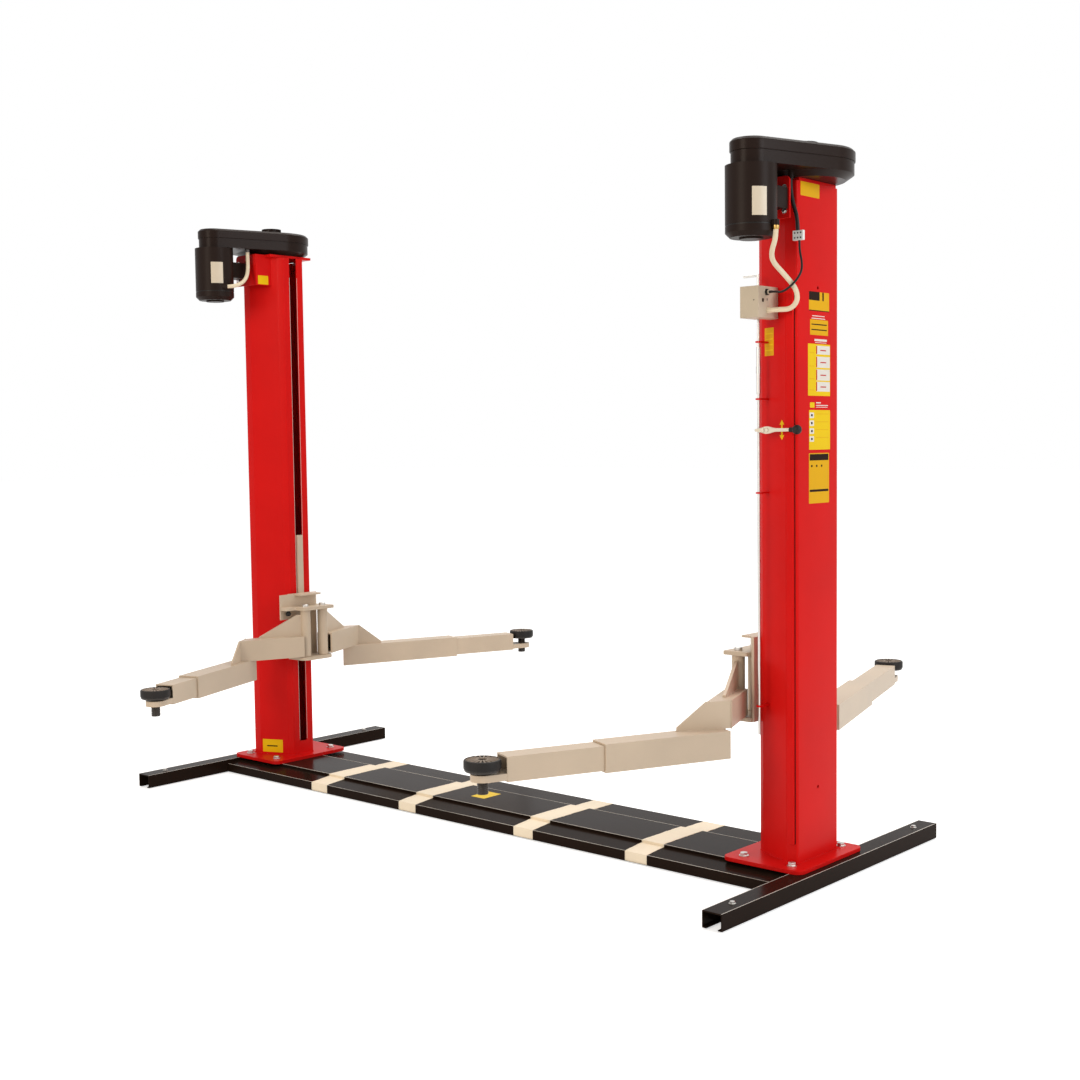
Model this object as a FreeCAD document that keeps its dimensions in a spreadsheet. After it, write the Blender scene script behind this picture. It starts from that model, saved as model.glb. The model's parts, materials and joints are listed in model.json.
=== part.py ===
"""Two-post car lift with two lifting screws, in millimetres.

X runs from the left post to the right one, Y along the car, Z up from the floor.
The origin lies on the floor, midway between the posts.
"""

import FreeCAD, Part
import math
import os
import re

import Sketcher

SIZES = {
    # Posts
    "span_inside": 2752,
    "post_depth": 213,
    "web_width": 280,
    "side_straight": 50,
    "nose_depth": 24,
    "nose_width": 156,
    "face_width": 120,
    "slot_width": 44,
    "post_wall": 6,
    "post_top": 2536,
    "post_fold": 8,
    "sight_hole": 6,
    "sight_hole_high": 2167,
    "sight_hole_low": 339,
    "slot_start": 142,
    # Base flanges of the posts
    "flange_inside": 66,
    "flange_outside": 63,
    "flange_width": 450,
    "flange_thickness": 15,
    "flange_corner": 35,
    "bolt_offset_in": 106.5,
    "bolt_offset_out": 101.5,
    "bolt_offset_side": 172,
    "bolt_hole": 18,
    # Feet along the car
    "foot_outside": 94,
    "foot_width": 81,
    "foot_front": 758,
    "foot_back": 757,
    "foot_top": 64,
    "foot_lift": 4,
    "foot_wall": 5,
    "foot_lip": 18,
    "pad_disc_radius": 28,
    "pad_stem_radius": 8,
    "pad_disc_inset": 120,
    # Base between the posts
    "base_front": 298,
    "base_back": 225,
    "skirt_top": 44,
    "beam_rise": 10,
    "cover_front": 190,
    "cover_back": 68,
    "groove": 12,
    "base_sheet": 5,
    "sheet_lift": 4,
    "band_width": 108,
    "band_sheet": 1,
    "band_far_left": -905,
    "band_near_left": -310,
    "band_near_right": 380,
    "band_far_right": 965,
    # Lifting screws and heads of the posts
    "screw_offset": 159,
    "screw_radius": 21,
    "screw_clearance": 0.6,
    "head_thickness": 12,
    "head_margin": 14,
    "hanger_gap": 35,
    "hanger_wall": 8,
    "hanger_left": 54,
    "hanger_width": 155,
    "hanger_height": 148,
    "hanger_corner": 18,
    "shelf_width": 110,
    # Motors
    "motor_distance": 350,
    "motor_radius": 90,
    "motor_length": 253,
    "motor_gap": 2,
    "motor_hub": 42,
    "motor_hub_depth": 6,
    "motor_edge": 16,
    "motor_cap": 45,
    "seam_depth": 3,
    "seam_height": 4,
    "motor_foot_width": 86,
    "motor_foot_height": 74,
    "motor_foot_drop": 42,
    "gland_radius": 12,
    "gland_neck": 0.8,
    "gland_inset": 25,
    "gland_reach": 11,
    "gland_height": 20,
    "gland_rise": 39,
    "side_gland_radius": 13,
    "side_gland_length": 40,
    "side_gland_across": 70,
    "side_gland_along": 24,
    "side_gland_rise": 67,
    # Belt covers
    "cover_big_radius": 180,
    "cover_small_radius": 74,
    "collar_height": 20,
    "collar_taper": 30,
    "tray_inset": 4,
    "tray_height": 44,
    "lid_height": 44,
    "lid_edge": 10,
    "cap_radius": 45,
    "cap_height": 34,
    "cover_gland_across": 39,
    "cover_gland_along": 158,
    "cover_gland_length": 28,
    # Carriages
    "plate_gap": 8,
    "plate_thickness": 29,
    "plate_chamfer": 20,
    "plate_width": 176,
    "plate_low": 567,
    "plate_height": 320,
    "wing_reach": 67,
    "wing_height": 122,
    "wing_wall": 8,
    "ledge_reach": 42,
    "ledge_thickness": 8,
    "ledge_width": 130,
    "tongue_clearance": 5.5,
    "slider_gap": 6,
    "slider_depth": 95,
    "slider_width": 100,
    "slider_height": 560,
    "tongue_height": 607,
    "nut_width": 76,
    "nut_depth": 34,
    "nut_rise": 60,
    "nut_height": 90,
    # Hinges of the arms
    "hinge_offset": 101,
    "hinge_spread": 54,
    "pin_radius": 16,
    "pin_clearance": 0.5,
    "pin_head": 8,
    "barrel_radius": 25,
    "ear_radius": 42,
    "ear_corner": 6,
    "ear_shelf": 44,
    "top_ear": 812,
    "ear_thickness": 15,
    "bottom_ear": 566,
    "ear_clearance": 1,
    # Arms
    "crank_angle": 45,
    "box_width": 80,
    "box_low": 585,
    "box_height": 100,
    "box_wall": 8,
    "box_start": 20,
    "tube_start": 210,
    "tube_offset": 230,
    "tube_width": 100,
    "tube_height": 100,
    "tube_wall": 6,
    "tube_front_length": 502,
    "tube_rear_length": 602,
    "end_offset": 235,
    "end_turn": 10,
    "end_length": 209,
    "end_toe": 14,
    "end_plate": 8,
    "heel_length": 36,
    "heel_plate": 8,
    "gusset_length": 235,
    "gusset_top": 790,
    "gusset_head": 45,
    "gusset_toe": 8,
    "gusset_plate": 12,
    "slide_gap": 0.8,
    "slide_wall": 6,
    "slide_front_length": 530,
    "slide_rear_length": 650,
    "tongue_thickness": 24,
    "tongue_overlap": 60,
    "tongue_gap": 72,
    "tongue_radius": 42,
    "stem_edge": 4,
    # Pads
    "stem_radius": 20,
    "stem_clearance": 0.5,
    "stem_low": 452,
    "disc_low": 530,
    "disc_thickness": 40,
    "disc_radius": 64,
    "disc_edge": 6,
    # Places of the arms in the photograph's position
    "angle_front_right": -113.6,
    "angle_front_left": -66.4,
    "angle_rear_left": 69.3,
    "angle_rear_right": 107.1,
    "reach_front_right": 1150,
    "reach_front_left": 985,
    "reach_rear_left": 1225,
    "reach_rear_right": 1400,
    "raise_front_right": 0,
    "raise_front_left": 0,
    "raise_rear_left": 20,
    "raise_rear_right": 20,
    # Controls on the right post
    "rod_offset": 54,
    "rod_stand": 7,
    "rod_radius": 5,
    "rod_low": 538,
    "rod_high": 2213,
    "rod_hook": 62,
    "rod_gap": 3,
    "sleeve_radius": 7.5,
    "sleeve_low": 1787,
    "sleeve_length": 170,
    "clamp_radius": 9,
    "clamp_low": 1862,
    "clamp_length": 24,
    "box_margin": 10,
    "box_span": 78,
    "box_reach": 103,
    "box_bottom": 2055,
    "box_tall": 112,
    "saddle_gap": 15,
    "box_gland_radius": 8.5,
    "box_gland_length": 12,
    "box_gland_along": 197,
    "box_gland_rise": 91,
    "clip_clearance": 0.6,
    "clip_radius": 11,
    "clip_thickness": 6,
    "clip_first": 640,
    "clip_second": 1425,
    "clip_third": 1766,
    "clip_fourth": 1972,
    "lever_height": 1656,
    "lever_offset": 28,
    "lever_reach": 144,
    "lever_tail": 45,
    "lever_gap": 5,
    "lever_bar": 14,
    "lever_sheet": 8,
    "hub_radius": 15,
    "knob_radius": 16,
    "knob_length": 32,
    "knob_edge": 8,
    "strip_width": 26,
    "strip_depth": 12,
    "strip_low": 150,
    "strip_high": 2150,
    "terminal_across": 214,
    "terminal_width": 42,
    "terminal_stand": 18,
    "terminal_depth": 14,
    "terminal_low": 2320,
    "terminal_height": 35,
    # Cords, by diameter
    "sleeve_cord": 18,
    "head_cord": 14,
    "thin_cord": 8,
    # Reach of a cut past the piece that it goes through, and of a weld into its neighbour
    "cut_spare": 10,
    "weld": 1,
}

POST_TURN = {"right": 0, "left": 180}
ARMS = ("front_right", "front_left", "rear_left", "rear_right")
OUTER_SIDE = {"front_right": 1, "front_left": -1, "rear_left": 1, "rear_right": -1}

doc = FreeCAD.newDocument("car_lift")
sheet = doc.addObject("Spreadsheet::Sheet", "sizes")
for row, (alias, value) in enumerate(SIZES.items(), start=1):
    sheet.set(f"A{row}", alias)
    sheet.set(f"B{row}", str(value))
    sheet.setAlias(f"B{row}", alias)
doc.recompute()

nodes = {}


def size(alias):
    """The sheet's value of one size."""
    return float(sheet.get(alias))


def bound(text):
    """An expression with the sheet's name before each size in it."""
    return re.sub(r"[a-z]\w*", lambda word: "sizes." + word[0] if word[0] in SIZES else word[0], text)


def bind(item, **properties):
    """Tie properties of an object to expressions of the sheet's sizes."""
    for name, text in properties.items():
        item.setExpression(name.replace("__", "."), bound(text))


def node(name, item):
    """Name an object as one of the lift's pieces."""
    item.Label = name
    nodes[name] = item
    return item


def origin_plane(body, role):
    return next(feature for feature in body.Origin.OriginFeatures if feature.Role == role)


def outline_sketch(body, name, role, outline, level):
    """A closed sketch of straight lines whose corners are bound to the sheet."""
    sketch = body.newObject("Sketcher::SketchObject", name + "_outline")
    sketch.AttachmentSupport = [(origin_plane(body, role), "")]
    sketch.MapMode = "FlatFace"
    bind(sketch, AttachmentOffset__Base__z=level)
    count = len(outline)
    ring = [
        FreeCAD.Vector(math.cos(2 * math.pi * i / count), math.sin(2 * math.pi * i / count), 0)
        for i in range(count)
    ]
    for i in range(count):
        sketch.addGeometry(Part.LineSegment(ring[i], ring[(i + 1) % count]))
    for i in range(count):
        sketch.addConstraint(Sketcher.Constraint("Coincident", i, 2, (i + 1) % count, 1))
    for i, (across, along) in enumerate(outline):
        for kind, text in (("DistanceX", across), ("DistanceY", along)):
            place = sketch.addConstraint(Sketcher.Constraint(kind, -1, 1, i, 1, 1.0))
            sketch.setExpression(f"Constraints[{place}]", bound(text))
    return sketch


def prism(name, role, outline, low, high):
    """A padded outline: up for XY, along Y for XZ and along X for YZ, from low to high."""
    body = doc.addObject("PartDesign::Body", name)
    level = f"-({high})" if role == "XZ_Plane" else low
    sketch = outline_sketch(body, name, role, outline, level)
    pad = body.newObject("PartDesign::Pad", name + "_pad")
    pad.Profile = sketch
    bind(pad, Length=f"({high}) - ({low})")
    doc.recompute()
    return body


def turned(name, outline, across, along, base="0"):
    """A revolved outline of (radius, height) corners, standing at a point."""
    body = doc.addObject("PartDesign::Body", name)
    sketch = outline_sketch(body, name, "XZ_Plane", outline, "0")
    turn = body.newObject("PartDesign::Revolution", name + "_turn")
    turn.Profile = sketch
    turn.ReferenceAxis = (sketch, ["V_Axis"])
    turn.Angle = 360
    doc.recompute()
    bind(body, Placement__Base__x=across, Placement__Base__y=along, Placement__Base__z=base)
    return body


def rounded(body, name, radius, chosen):
    """Round the edges of a body that a test picks."""
    base = body.Tip
    edges = [f"Edge{i}" for i, edge in enumerate(base.Shape.Edges, start=1) if chosen(edge)]
    fillet = body.newObject("PartDesign::Fillet", name)
    fillet.Base = (base, edges)
    bind(fillet, Radius=radius)
    doc.recompute()
    return body


def upright(edge):
    """Whether an edge is a vertical line."""
    run = edge.Vertexes[-1].Point - edge.Vertexes[0].Point
    return edge.Curve.TypeId == "Part::GeomLine" and abs(run.x) + abs(run.y) < 1e-6


def block(name, left, right, front, back, low, high):
    """A box between two corners."""
    item = doc.addObject("Part::Box", name)
    bind(
        item,
        Length=f"({right}) - ({left})",
        Width=f"({back}) - ({front})",
        Height=f"({high}) - ({low})",
        Placement__Base__x=left,
        Placement__Base__y=front,
        Placement__Base__z=low,
    )
    return item


def rod(name, radius, across, along, low, high):
    """An upright cylinder."""
    item = doc.addObject("Part::Cylinder", name)
    bind(
        item,
        Radius=radius,
        Height=f"({high}) - ({low})",
        Placement__Base__x=across,
        Placement__Base__y=along,
        Placement__Base__z=low,
    )
    return item


def lying(name, direction, radius, length, across, along, height):
    """A cylinder that starts at a point and runs along a direction."""
    item = doc.addObject("Part::Cylinder", name)
    item.Placement.Rotation = FreeCAD.Rotation(UP, direction)
    bind(
        item,
        Radius=radius,
        Height=length,
        Placement__Base__x=across,
        Placement__Base__y=along,
        Placement__Base__z=height,
    )
    return item


def cut(name, base, tool):
    item = doc.addObject("Part::Cut", name)
    item.Base = base
    item.Tool = tool
    return item


def fuse(name, *shapes):
    item = doc.addObject("Part::MultiFuse", name)
    item.Shapes = list(shapes)
    item.Refine = True
    return item


def group(name, *shapes):
    """Like pieces that don't touch, kept as one node."""
    item = doc.addObject("Part::Compound", name)
    item.Links = list(shapes)
    return item


def turn_about_centre(item, degrees):
    """Turn a piece of the right post to its place on the left one."""
    item.Placement = FreeCAD.Placement(
        FreeCAD.Vector(0, 0, 0), FreeCAD.Rotation(FreeCAD.Vector(0, 0, 1), degrees)
    )


def turn_by(item, angle):
    """Turn a piece about the upright axis through its own origin by a bound angle."""
    turn_about_centre(item, 1)
    bind(item, Placement__Rotation__Angle=angle)


INNER = "span_inside / 2"
OUTER = f"({INNER} + post_depth)"
FLANGE_TOP = "(foot_top + flange_thickness)"
SCREW_X = f"({INNER} + screw_offset)"
HINGE_X = f"({INNER} - hinge_offset)"
PLATE_BACK = f"({INNER} - plate_gap)"
PLATE_FRONT = f"({PLATE_BACK} - plate_thickness)"
HEAD_TOP = "(post_top + head_thickness)"
TRAY_LOW = f"({HEAD_TOP} + collar_height)"
HANGER_FACE = "(web_width / 2 + hanger_gap + hanger_wall)"
ROD_X = f"({INNER} + rod_offset)"
ROD_Y = "(web_width / 2 + rod_stand)"
BOX_LEFT = f"({ROD_X} - box_margin)"
LEVER_X = f"({ROD_X} + lever_offset)"
POST_SLOPE = "((web_width - nose_width) / 2 / (post_depth - side_straight - nose_depth))"

UP = FreeCAD.Vector(0, 0, 1)
ALONG_X = FreeCAD.Vector(1, 0, 0)
ALONG_Y = FreeCAD.Vector(0, 1, 0)

GLAND_WAY = FreeCAD.Vector(-4, -3, 0)

ARC_SHARE = 0.45
CORDS = {
    "motor_cord_right": (
        "sleeve_cord",
        (
            (1636, -350, 2352),
            (1636, -350, 2312),
            (1607, -334, 2268),
            (1590, -301, 2238),
            (1599, -255, 2205),
            (1612, -215, 2170),
            (1624, -197, 2139),
            (1617, -184, 2105),
            (1586, -179, 2081),
            (1544, -188, 2082),
            (1498, -188, 2082),
        ),
    ),
    "motor_cord_left": (
        "sleeve_cord",
        (
            (-1455, -212, 2568),
            (-1455, -212, 2520),
            (-1450, -215, 2470),
            (-1430, -243, 2425),
            (-1405, -293, 2394),
            (-1411, -333.5, 2380),
            (-1433, -350, 2380),
        ),
    ),
    "head_cord": (
        "head_cord",
        (
            (1574, -158, 2540),
            (1574, -158, 2502),
            (1585, -161, 2452),
            (1607, -165, 2398),
            (1607, -165, 2355),
        ),
    ),
    "control_cord": (
        "thin_cord",
        (
            (1614, -165, 2320),
            (1614, -165, 2286),
            (1628, -172, 2248),
            (1641, -192, 2211),
            (1638, -219, 2178),
            (1612, -231, 2150),
            (1572, -218, 2138),
            (1538, -197, 2146),
            (1510, -197, 2146),
        ),
    ),
}


def post_half(across):
    """Half the right post's width at a place across it."""
    return f"min(nose_width / 2 + ({across} - {INNER} - nose_depth) * {POST_SLOPE}; web_width / 2)"


def ordered(sign, low, high):
    """Two distances as bounds along an axis, on the side that the sign gives."""
    bounds = (f"{sign} * ({low})", f"{sign} * ({high})")
    return bounds if sign > 0 else bounds[::-1]


def furthest(shape, direction):
    """A test for the edges that lie furthest along a direction."""
    reach = max(vertex.Point * direction for vertex in shape.Vertexes)
    return lambda edge: all(vertex.Point * direction > reach - 1e-3 for vertex in edge.Vertexes)


def make_post(side, turn):
    """The folded post: a tapered section with a slot down its narrow face."""
    half = [
        (INNER, "face_width / 2"),
        (f"{INNER} + nose_depth", "nose_width / 2"),
        (f"{OUTER} - side_straight", "web_width / 2"),
        (OUTER, "web_width / 2"),
    ]
    outline = half + [(across, f"-({along})") for across, along in reversed(half)]
    body = prism(f"post_{side}", "XY_Plane", outline, FLANGE_TOP, "post_top")
    rounded(body, f"post_folds_{side}", "post_fold", upright)
    pad = body.Tip
    ends = [
        f"Face{i}" for i, face in enumerate(pad.Shape.Faces, start=1) if abs(face.normalAt(0, 0).z) > 0.99
    ]
    shell = body.newObject("PartDesign::Thickness", f"post_{side}_wall")
    shell.Base = (pad, ends)
    shell.Reversed = True
    shell.Join = 1
    bind(shell, Value="post_wall")
    doc.recompute()
    slot = block(
        f"slot_{side}",
        f"{INNER} - post_wall",
        f"{INNER} + 2 * post_wall",
        "-slot_width / 2",
        "slot_width / 2",
        "slot_start",
        "post_top + post_wall",
    )
    holes = [
        lying(
            f"sight_hole_{place}_{side}",
            ALONG_X,
            "sight_hole",
            "2 * cut_spare",
            f"{OUTER} - cut_spare",
            "0",
            f"sight_hole_{place}",
        )
        for place in ("high", "low")
    ]
    post = cut(f"slotted_post_{side}", body, group(f"post_cuts_{side}", slot, *holes))
    turn_about_centre(post, turn)
    node(f"column_{side}", post)


def make_flange(side, turn):
    """The rounded plate under a post, with four bolt holes."""
    left = f"{INNER} - flange_inside"
    right = f"{OUTER} + flange_outside"
    corners = [
        (left, "-flange_width / 2"),
        (right, "-flange_width / 2"),
        (right, "flange_width / 2"),
        (left, "flange_width / 2"),
    ]
    plate = prism(f"flange_plate_{side}", "XY_Plane", corners, "foot_top", FLANGE_TOP)
    rounded(plate, f"flange_corners_{side}", "flange_corner", upright)
    middle = f"({INNER} + {OUTER}) / 2"
    holes = [
        rod(
            f"flange_hole_{side}_{i}",
            "bolt_hole / 2",
            across,
            along,
            "foot_top - flange_thickness",
            f"{FLANGE_TOP} + flange_thickness",
        )
        for i, (across, along) in enumerate(
            (across, along)
            for across in (f"{middle} - bolt_offset_in", f"{middle} + bolt_offset_out")
            for along in ("-bolt_offset_side", "bolt_offset_side")
        )
    ]
    item = cut(f"drilled_flange_{side}", plate, group(f"flange_holes_{side}", *holes))
    turn_about_centre(item, turn)
    node(f"column_flange_{side}", item)


def make_foot(side, turn):
    """A lipped channel, open downwards, along the car."""
    out = f"({OUTER} + foot_outside)"
    inn = f"({out} - foot_width)"
    outline = [
        (inn, "foot_lift"),
        (inn, "foot_top"),
        (out, "foot_top"),
        (out, "foot_lift"),
        (f"{out} - foot_lip", "foot_lift"),
        (f"{out} - foot_lip", "foot_lift + foot_wall"),
        (f"{out} - foot_wall", "foot_lift + foot_wall"),
        (f"{out} - foot_wall", "foot_top - foot_wall"),
        (f"{inn} + foot_wall", "foot_top - foot_wall"),
        (f"{inn} + foot_wall", "foot_lift + foot_wall"),
        (f"{inn} + foot_lip", "foot_lift + foot_wall"),
        (f"{inn} + foot_lip", "foot_lift"),
    ]
    front, back = ("-foot_front", "foot_back") if side == "right" else ("-foot_back", "foot_front")
    body = prism(f"foot_channel_{side}", "XZ_Plane", outline, front, back)
    turn_about_centre(body, turn)
    node(f"foot_{side}", body)


def make_levelling_feet():
    """Four discs on short stems under the ends of the feet."""
    parts = []
    middle = f"({OUTER} + foot_outside - foot_width / 2)"
    outline = [
        ("0", "0"),
        ("pad_disc_radius", "0"),
        ("pad_disc_radius", "foot_lift"),
        ("pad_stem_radius", "foot_lift"),
        ("pad_stem_radius", "foot_top - foot_wall"),
        ("0", "foot_top - foot_wall"),
    ]
    for name, across in (("left", f"-{middle}"), ("right", middle)):
        for end, along in (("front", "pad_disc_inset - foot_front"), ("back", "foot_back - pad_disc_inset")):
            parts.append(turned(f"levelling_{name}_{end}", outline, across, along))
    node("levelling_feet", group("levelling_discs", *parts))


def make_base():
    """Folded beams and the raised cover between the feet, with the bands round them."""
    reach = f"({OUTER} + foot_outside - foot_width)"
    beam_back = "skirt_top + beam_rise"
    front = [
        ("-base_front", "sheet_lift"),
        ("-base_front", "skirt_top"),
        ("-cover_front", beam_back),
        ("-cover_front", f"{beam_back} - base_sheet"),
        ("-base_front + base_sheet", "skirt_top - base_sheet"),
        ("-base_front + base_sheet", "sheet_lift"),
    ]
    node("base_front_beam", prism("front_beam", "YZ_Plane", front, f"-{reach}", reach))
    cover = [
        ("-cover_front", "sheet_lift"),
        ("-cover_front", "foot_top"),
        ("cover_back", "foot_top"),
        ("cover_back", "sheet_lift"),
        ("cover_back - base_sheet", "sheet_lift"),
        ("cover_back - base_sheet", "foot_top - base_sheet"),
        ("-cover_front + base_sheet", "foot_top - base_sheet"),
        ("-cover_front + base_sheet", "sheet_lift"),
    ]
    node("base_cover", prism("raised_cover", "YZ_Plane", cover, f"-{reach}", reach))
    start = "cover_back + groove"
    back = [
        (start, "sheet_lift"),
        (start, beam_back),
        ("base_back", beam_back),
        ("base_back", "sheet_lift"),
        ("base_back - base_sheet", "sheet_lift"),
        ("base_back - base_sheet", f"{beam_back} - base_sheet"),
        (f"{start} + base_sheet", f"{beam_back} - base_sheet"),
        (f"{start} + base_sheet", "sheet_lift"),
    ]
    node("base_back_beam", prism("back_beam", "YZ_Plane", back, f"-{reach}", reach))
    band = [
        ("-base_front - band_sheet", "sheet_lift"),
        ("-base_front - band_sheet", "skirt_top + band_sheet"),
        ("-cover_front - band_sheet", f"{beam_back} + band_sheet"),
        ("-cover_front - band_sheet", "foot_top + band_sheet"),
        ("cover_back", "foot_top + band_sheet"),
        (start, f"{beam_back} + band_sheet"),
        ("base_back + band_sheet", f"{beam_back} + band_sheet"),
        ("base_back + band_sheet", "sheet_lift"),
        ("base_back", "sheet_lift"),
        ("base_back", beam_back),
        (start, beam_back),
        ("cover_back", "foot_top"),
        ("-cover_front", "foot_top"),
        ("-cover_front", beam_back),
        ("-base_front", "skirt_top"),
        ("-base_front", "sheet_lift"),
    ]
    bands = []
    for place in ("far_left", "near_left", "near_right", "far_right"):
        low = f"band_{place} - band_width / 2"
        high = f"band_{place} + band_width / 2"
        bands.append(prism(f"tape_{place}", "YZ_Plane", band, low, high))
    node("tape_bands", group("bands", *bands))


def make_screw(side, turn):
    """The lifting screw, from the flange to the head."""
    bar = rod(f"screw_{side}", "screw_radius", SCREW_X, "0", FLANGE_TOP, HEAD_TOP)
    item = group(f"screw_place_{side}", bar)
    turn_about_centre(item, turn)
    node(f"lift_screw_{side}", item)


def make_head(side, turn):
    """The head plate with the shelf, web and hanger that carry the motor beside the post."""
    front = -1 if side == "right" else 1
    left = f"({INNER} + hanger_left)"
    right = f"({left} + hanger_width)"
    low = f"({HEAD_TOP} - hanger_height)"
    edge = "(web_width / 2 - head_margin)"
    hanger_ends = ordered(front, f"{HANGER_FACE} - hanger_wall", HANGER_FACE)
    plate = block(
        f"head_plate_{side}", f"{INNER} + head_margin", OUTER, f"-{edge}", edge, "post_top", HEAD_TOP
    )
    shelf = block(
        f"head_shelf_{side}",
        left,
        f"{left} + shelf_width",
        *ordered(front, f"{edge} - weld", f"{HANGER_FACE} - hanger_wall / 2"),
        "post_top",
        HEAD_TOP,
    )
    hanger = prism(
        f"hanger_{side}",
        "XZ_Plane",
        [(left, low), (left, HEAD_TOP), (right, HEAD_TOP), (right, low)],
        *hanger_ends,
    )
    rounded(hanger, f"hanger_corner_{side}", "hanger_corner", furthest(hanger.Shape, ALONG_X + UP))
    web_right = f"({left} + hanger_wall)"
    web = prism(
        f"hanger_web_{side}",
        "XY_Plane",
        [
            (left, f"{front} * ({post_half(left)})"),
            (web_right, f"{front} * ({post_half(web_right)})"),
            (web_right, f"{front} * ({HANGER_FACE} - hanger_wall / 2)"),
            (left, f"{front} * ({HANGER_FACE} - hanger_wall / 2)"),
        ],
        low,
        "post_top + weld",
    )
    hole = rod(
        f"head_hole_{side}",
        "screw_radius + screw_clearance",
        SCREW_X,
        "0",
        "post_top - cut_spare",
        f"{HEAD_TOP} + cut_spare",
    )
    bracket = cut(f"bracket_{side}", fuse(f"bracket_parts_{side}", plate, shelf, hanger, web), hole)
    turn_about_centre(bracket, turn)
    node(f"motor_bracket_{side}", bracket)


def make_motor(side, turn):
    """The motor, its mounting foot on the hanger, and the gland that its cord comes out of."""
    front = -1 if side == "right" else 1
    centre = f"{front} * motor_distance"
    top = f"({TRAY_LOW} - motor_gap)"
    bottom = f"({top} - motor_length)"
    recess = f"({bottom} + motor_hub_depth)"
    seam = f"({bottom} + motor_cap)"
    outline = [
        ("0", bottom),
        ("motor_hub", bottom),
        ("motor_hub", recess),
        ("motor_radius - motor_edge", recess),
        ("motor_radius", f"{recess} + motor_edge"),
        ("motor_radius", seam),
        ("motor_radius - seam_depth", seam),
        ("motor_radius - seam_depth", f"{seam} + seam_height"),
        ("motor_radius", f"{seam} + seam_height"),
        ("motor_radius", top),
        ("0", top),
    ]
    shell = turned(f"motor_shell_{side}", outline, SCREW_X, centre)
    foot_top = f"({HEAD_TOP} - motor_foot_drop)"
    foot = block(
        f"motor_foot_{side}",
        f"{SCREW_X} - motor_foot_width / 2",
        f"{SCREW_X} + motor_foot_width / 2",
        *ordered(front, HANGER_FACE, "motor_distance - motor_radius / 2"),
        f"{foot_top} - motor_foot_height",
        foot_top,
    )
    if side == "right":
        gland_x = f"({SCREW_X} + motor_radius + gland_reach)"
        gland_z = f"({bottom} + gland_rise)"
        glands = [
            lying(
                "gland_boss",
                ALONG_X,
                "gland_radius * gland_neck",
                "gland_inset + gland_reach",
                f"{gland_x} - gland_inset - gland_reach",
                centre,
                f"{gland_z} + gland_height / 2",
            ),
            rod("gland_nut", "gland_radius", gland_x, centre, gland_z, f"{gland_z} + gland_height"),
        ]
    else:
        glands = [
            lying(
                "side_gland",
                GLAND_WAY,
                "side_gland_radius",
                "side_gland_length",
                f"{SCREW_X} - side_gland_across",
                "motor_distance + side_gland_along",
                f"{bottom} + side_gland_rise",
            )
        ]
    motor = fuse(f"motor_parts_{side}", shell, foot, *glands)
    turn_about_centre(motor, turn)
    node(f"motor_{side}", motor)


def teardrop(name, hand, grow, low, high):
    """A belt cover's outline: a large arc at the screw, a small one at the motor, and two tangents."""
    body = doc.addObject("PartDesign::Body", name)
    sketch = body.newObject("Sketcher::SketchObject", name + "_outline")
    sketch.AttachmentSupport = [(origin_plane(body, "XY_Plane"), "")]
    sketch.MapMode = "FlatFace"
    bind(sketch, AttachmentOffset__Base__z=low)
    big = size("cover_big_radius")
    small = size("cover_small_radius")
    distance = size("motor_distance")
    lean = math.asin((big - small) / distance)
    centre = FreeCAD.Vector(0, 0, 0)
    motor = FreeCAD.Vector(0, -hand * distance, 0)
    up = FreeCAD.Vector(0, 0, 1)
    if hand > 0:
        spans = ((-lean, math.pi + lean), (math.pi + lean, 2 * math.pi - lean))
    else:
        spans = ((math.pi - lean, 2 * math.pi + lean), (lean, math.pi - lean))
    sketch.addGeometry(Part.ArcOfCircle(Part.Circle(centre, up, big), *spans[0]))
    sketch.addGeometry(Part.ArcOfCircle(Part.Circle(motor, up, small), *spans[1]))
    big_start = sketch.getPoint(0, 1)
    big_end = sketch.getPoint(0, 2)
    small_start = sketch.getPoint(1, 1)
    small_end = sketch.getPoint(1, 2)
    sketch.addGeometry(Part.LineSegment(big_end, small_start))
    sketch.addGeometry(Part.LineSegment(small_end, big_start))
    for first, second in (((0, 2), (2, 1)), ((2, 2), (1, 1)), ((1, 2), (3, 1)), ((3, 2), (0, 1))):
        sketch.addConstraint(Sketcher.Constraint("Tangent", *first, *second))
    rows = (
        ("DistanceX", (-1, 1, 0, 3), SCREW_X),
        ("DistanceY", (-1, 1, 0, 3), "0"),
        ("DistanceX", (-1, 1, 1, 3), SCREW_X),
        ("DistanceY", (-1, 1, 1, 3), f"{-hand} * motor_distance"),
        ("Radius", (0,), f"cover_big_radius - {grow}"),
        ("Radius", (1,), f"cover_small_radius - {grow}"),
    )
    for kind, places, text in rows:
        index = sketch.addConstraint(Sketcher.Constraint(kind, *places, 1.0 if kind != "Radius" else small))
        sketch.setExpression(f"Constraints[{index}]", bound(text))
    pad = body.newObject("PartDesign::Pad", name + "_pad")
    pad.Profile = sketch
    bind(pad, Length=f"({high}) - ({low})")
    doc.recompute()
    return body


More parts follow.
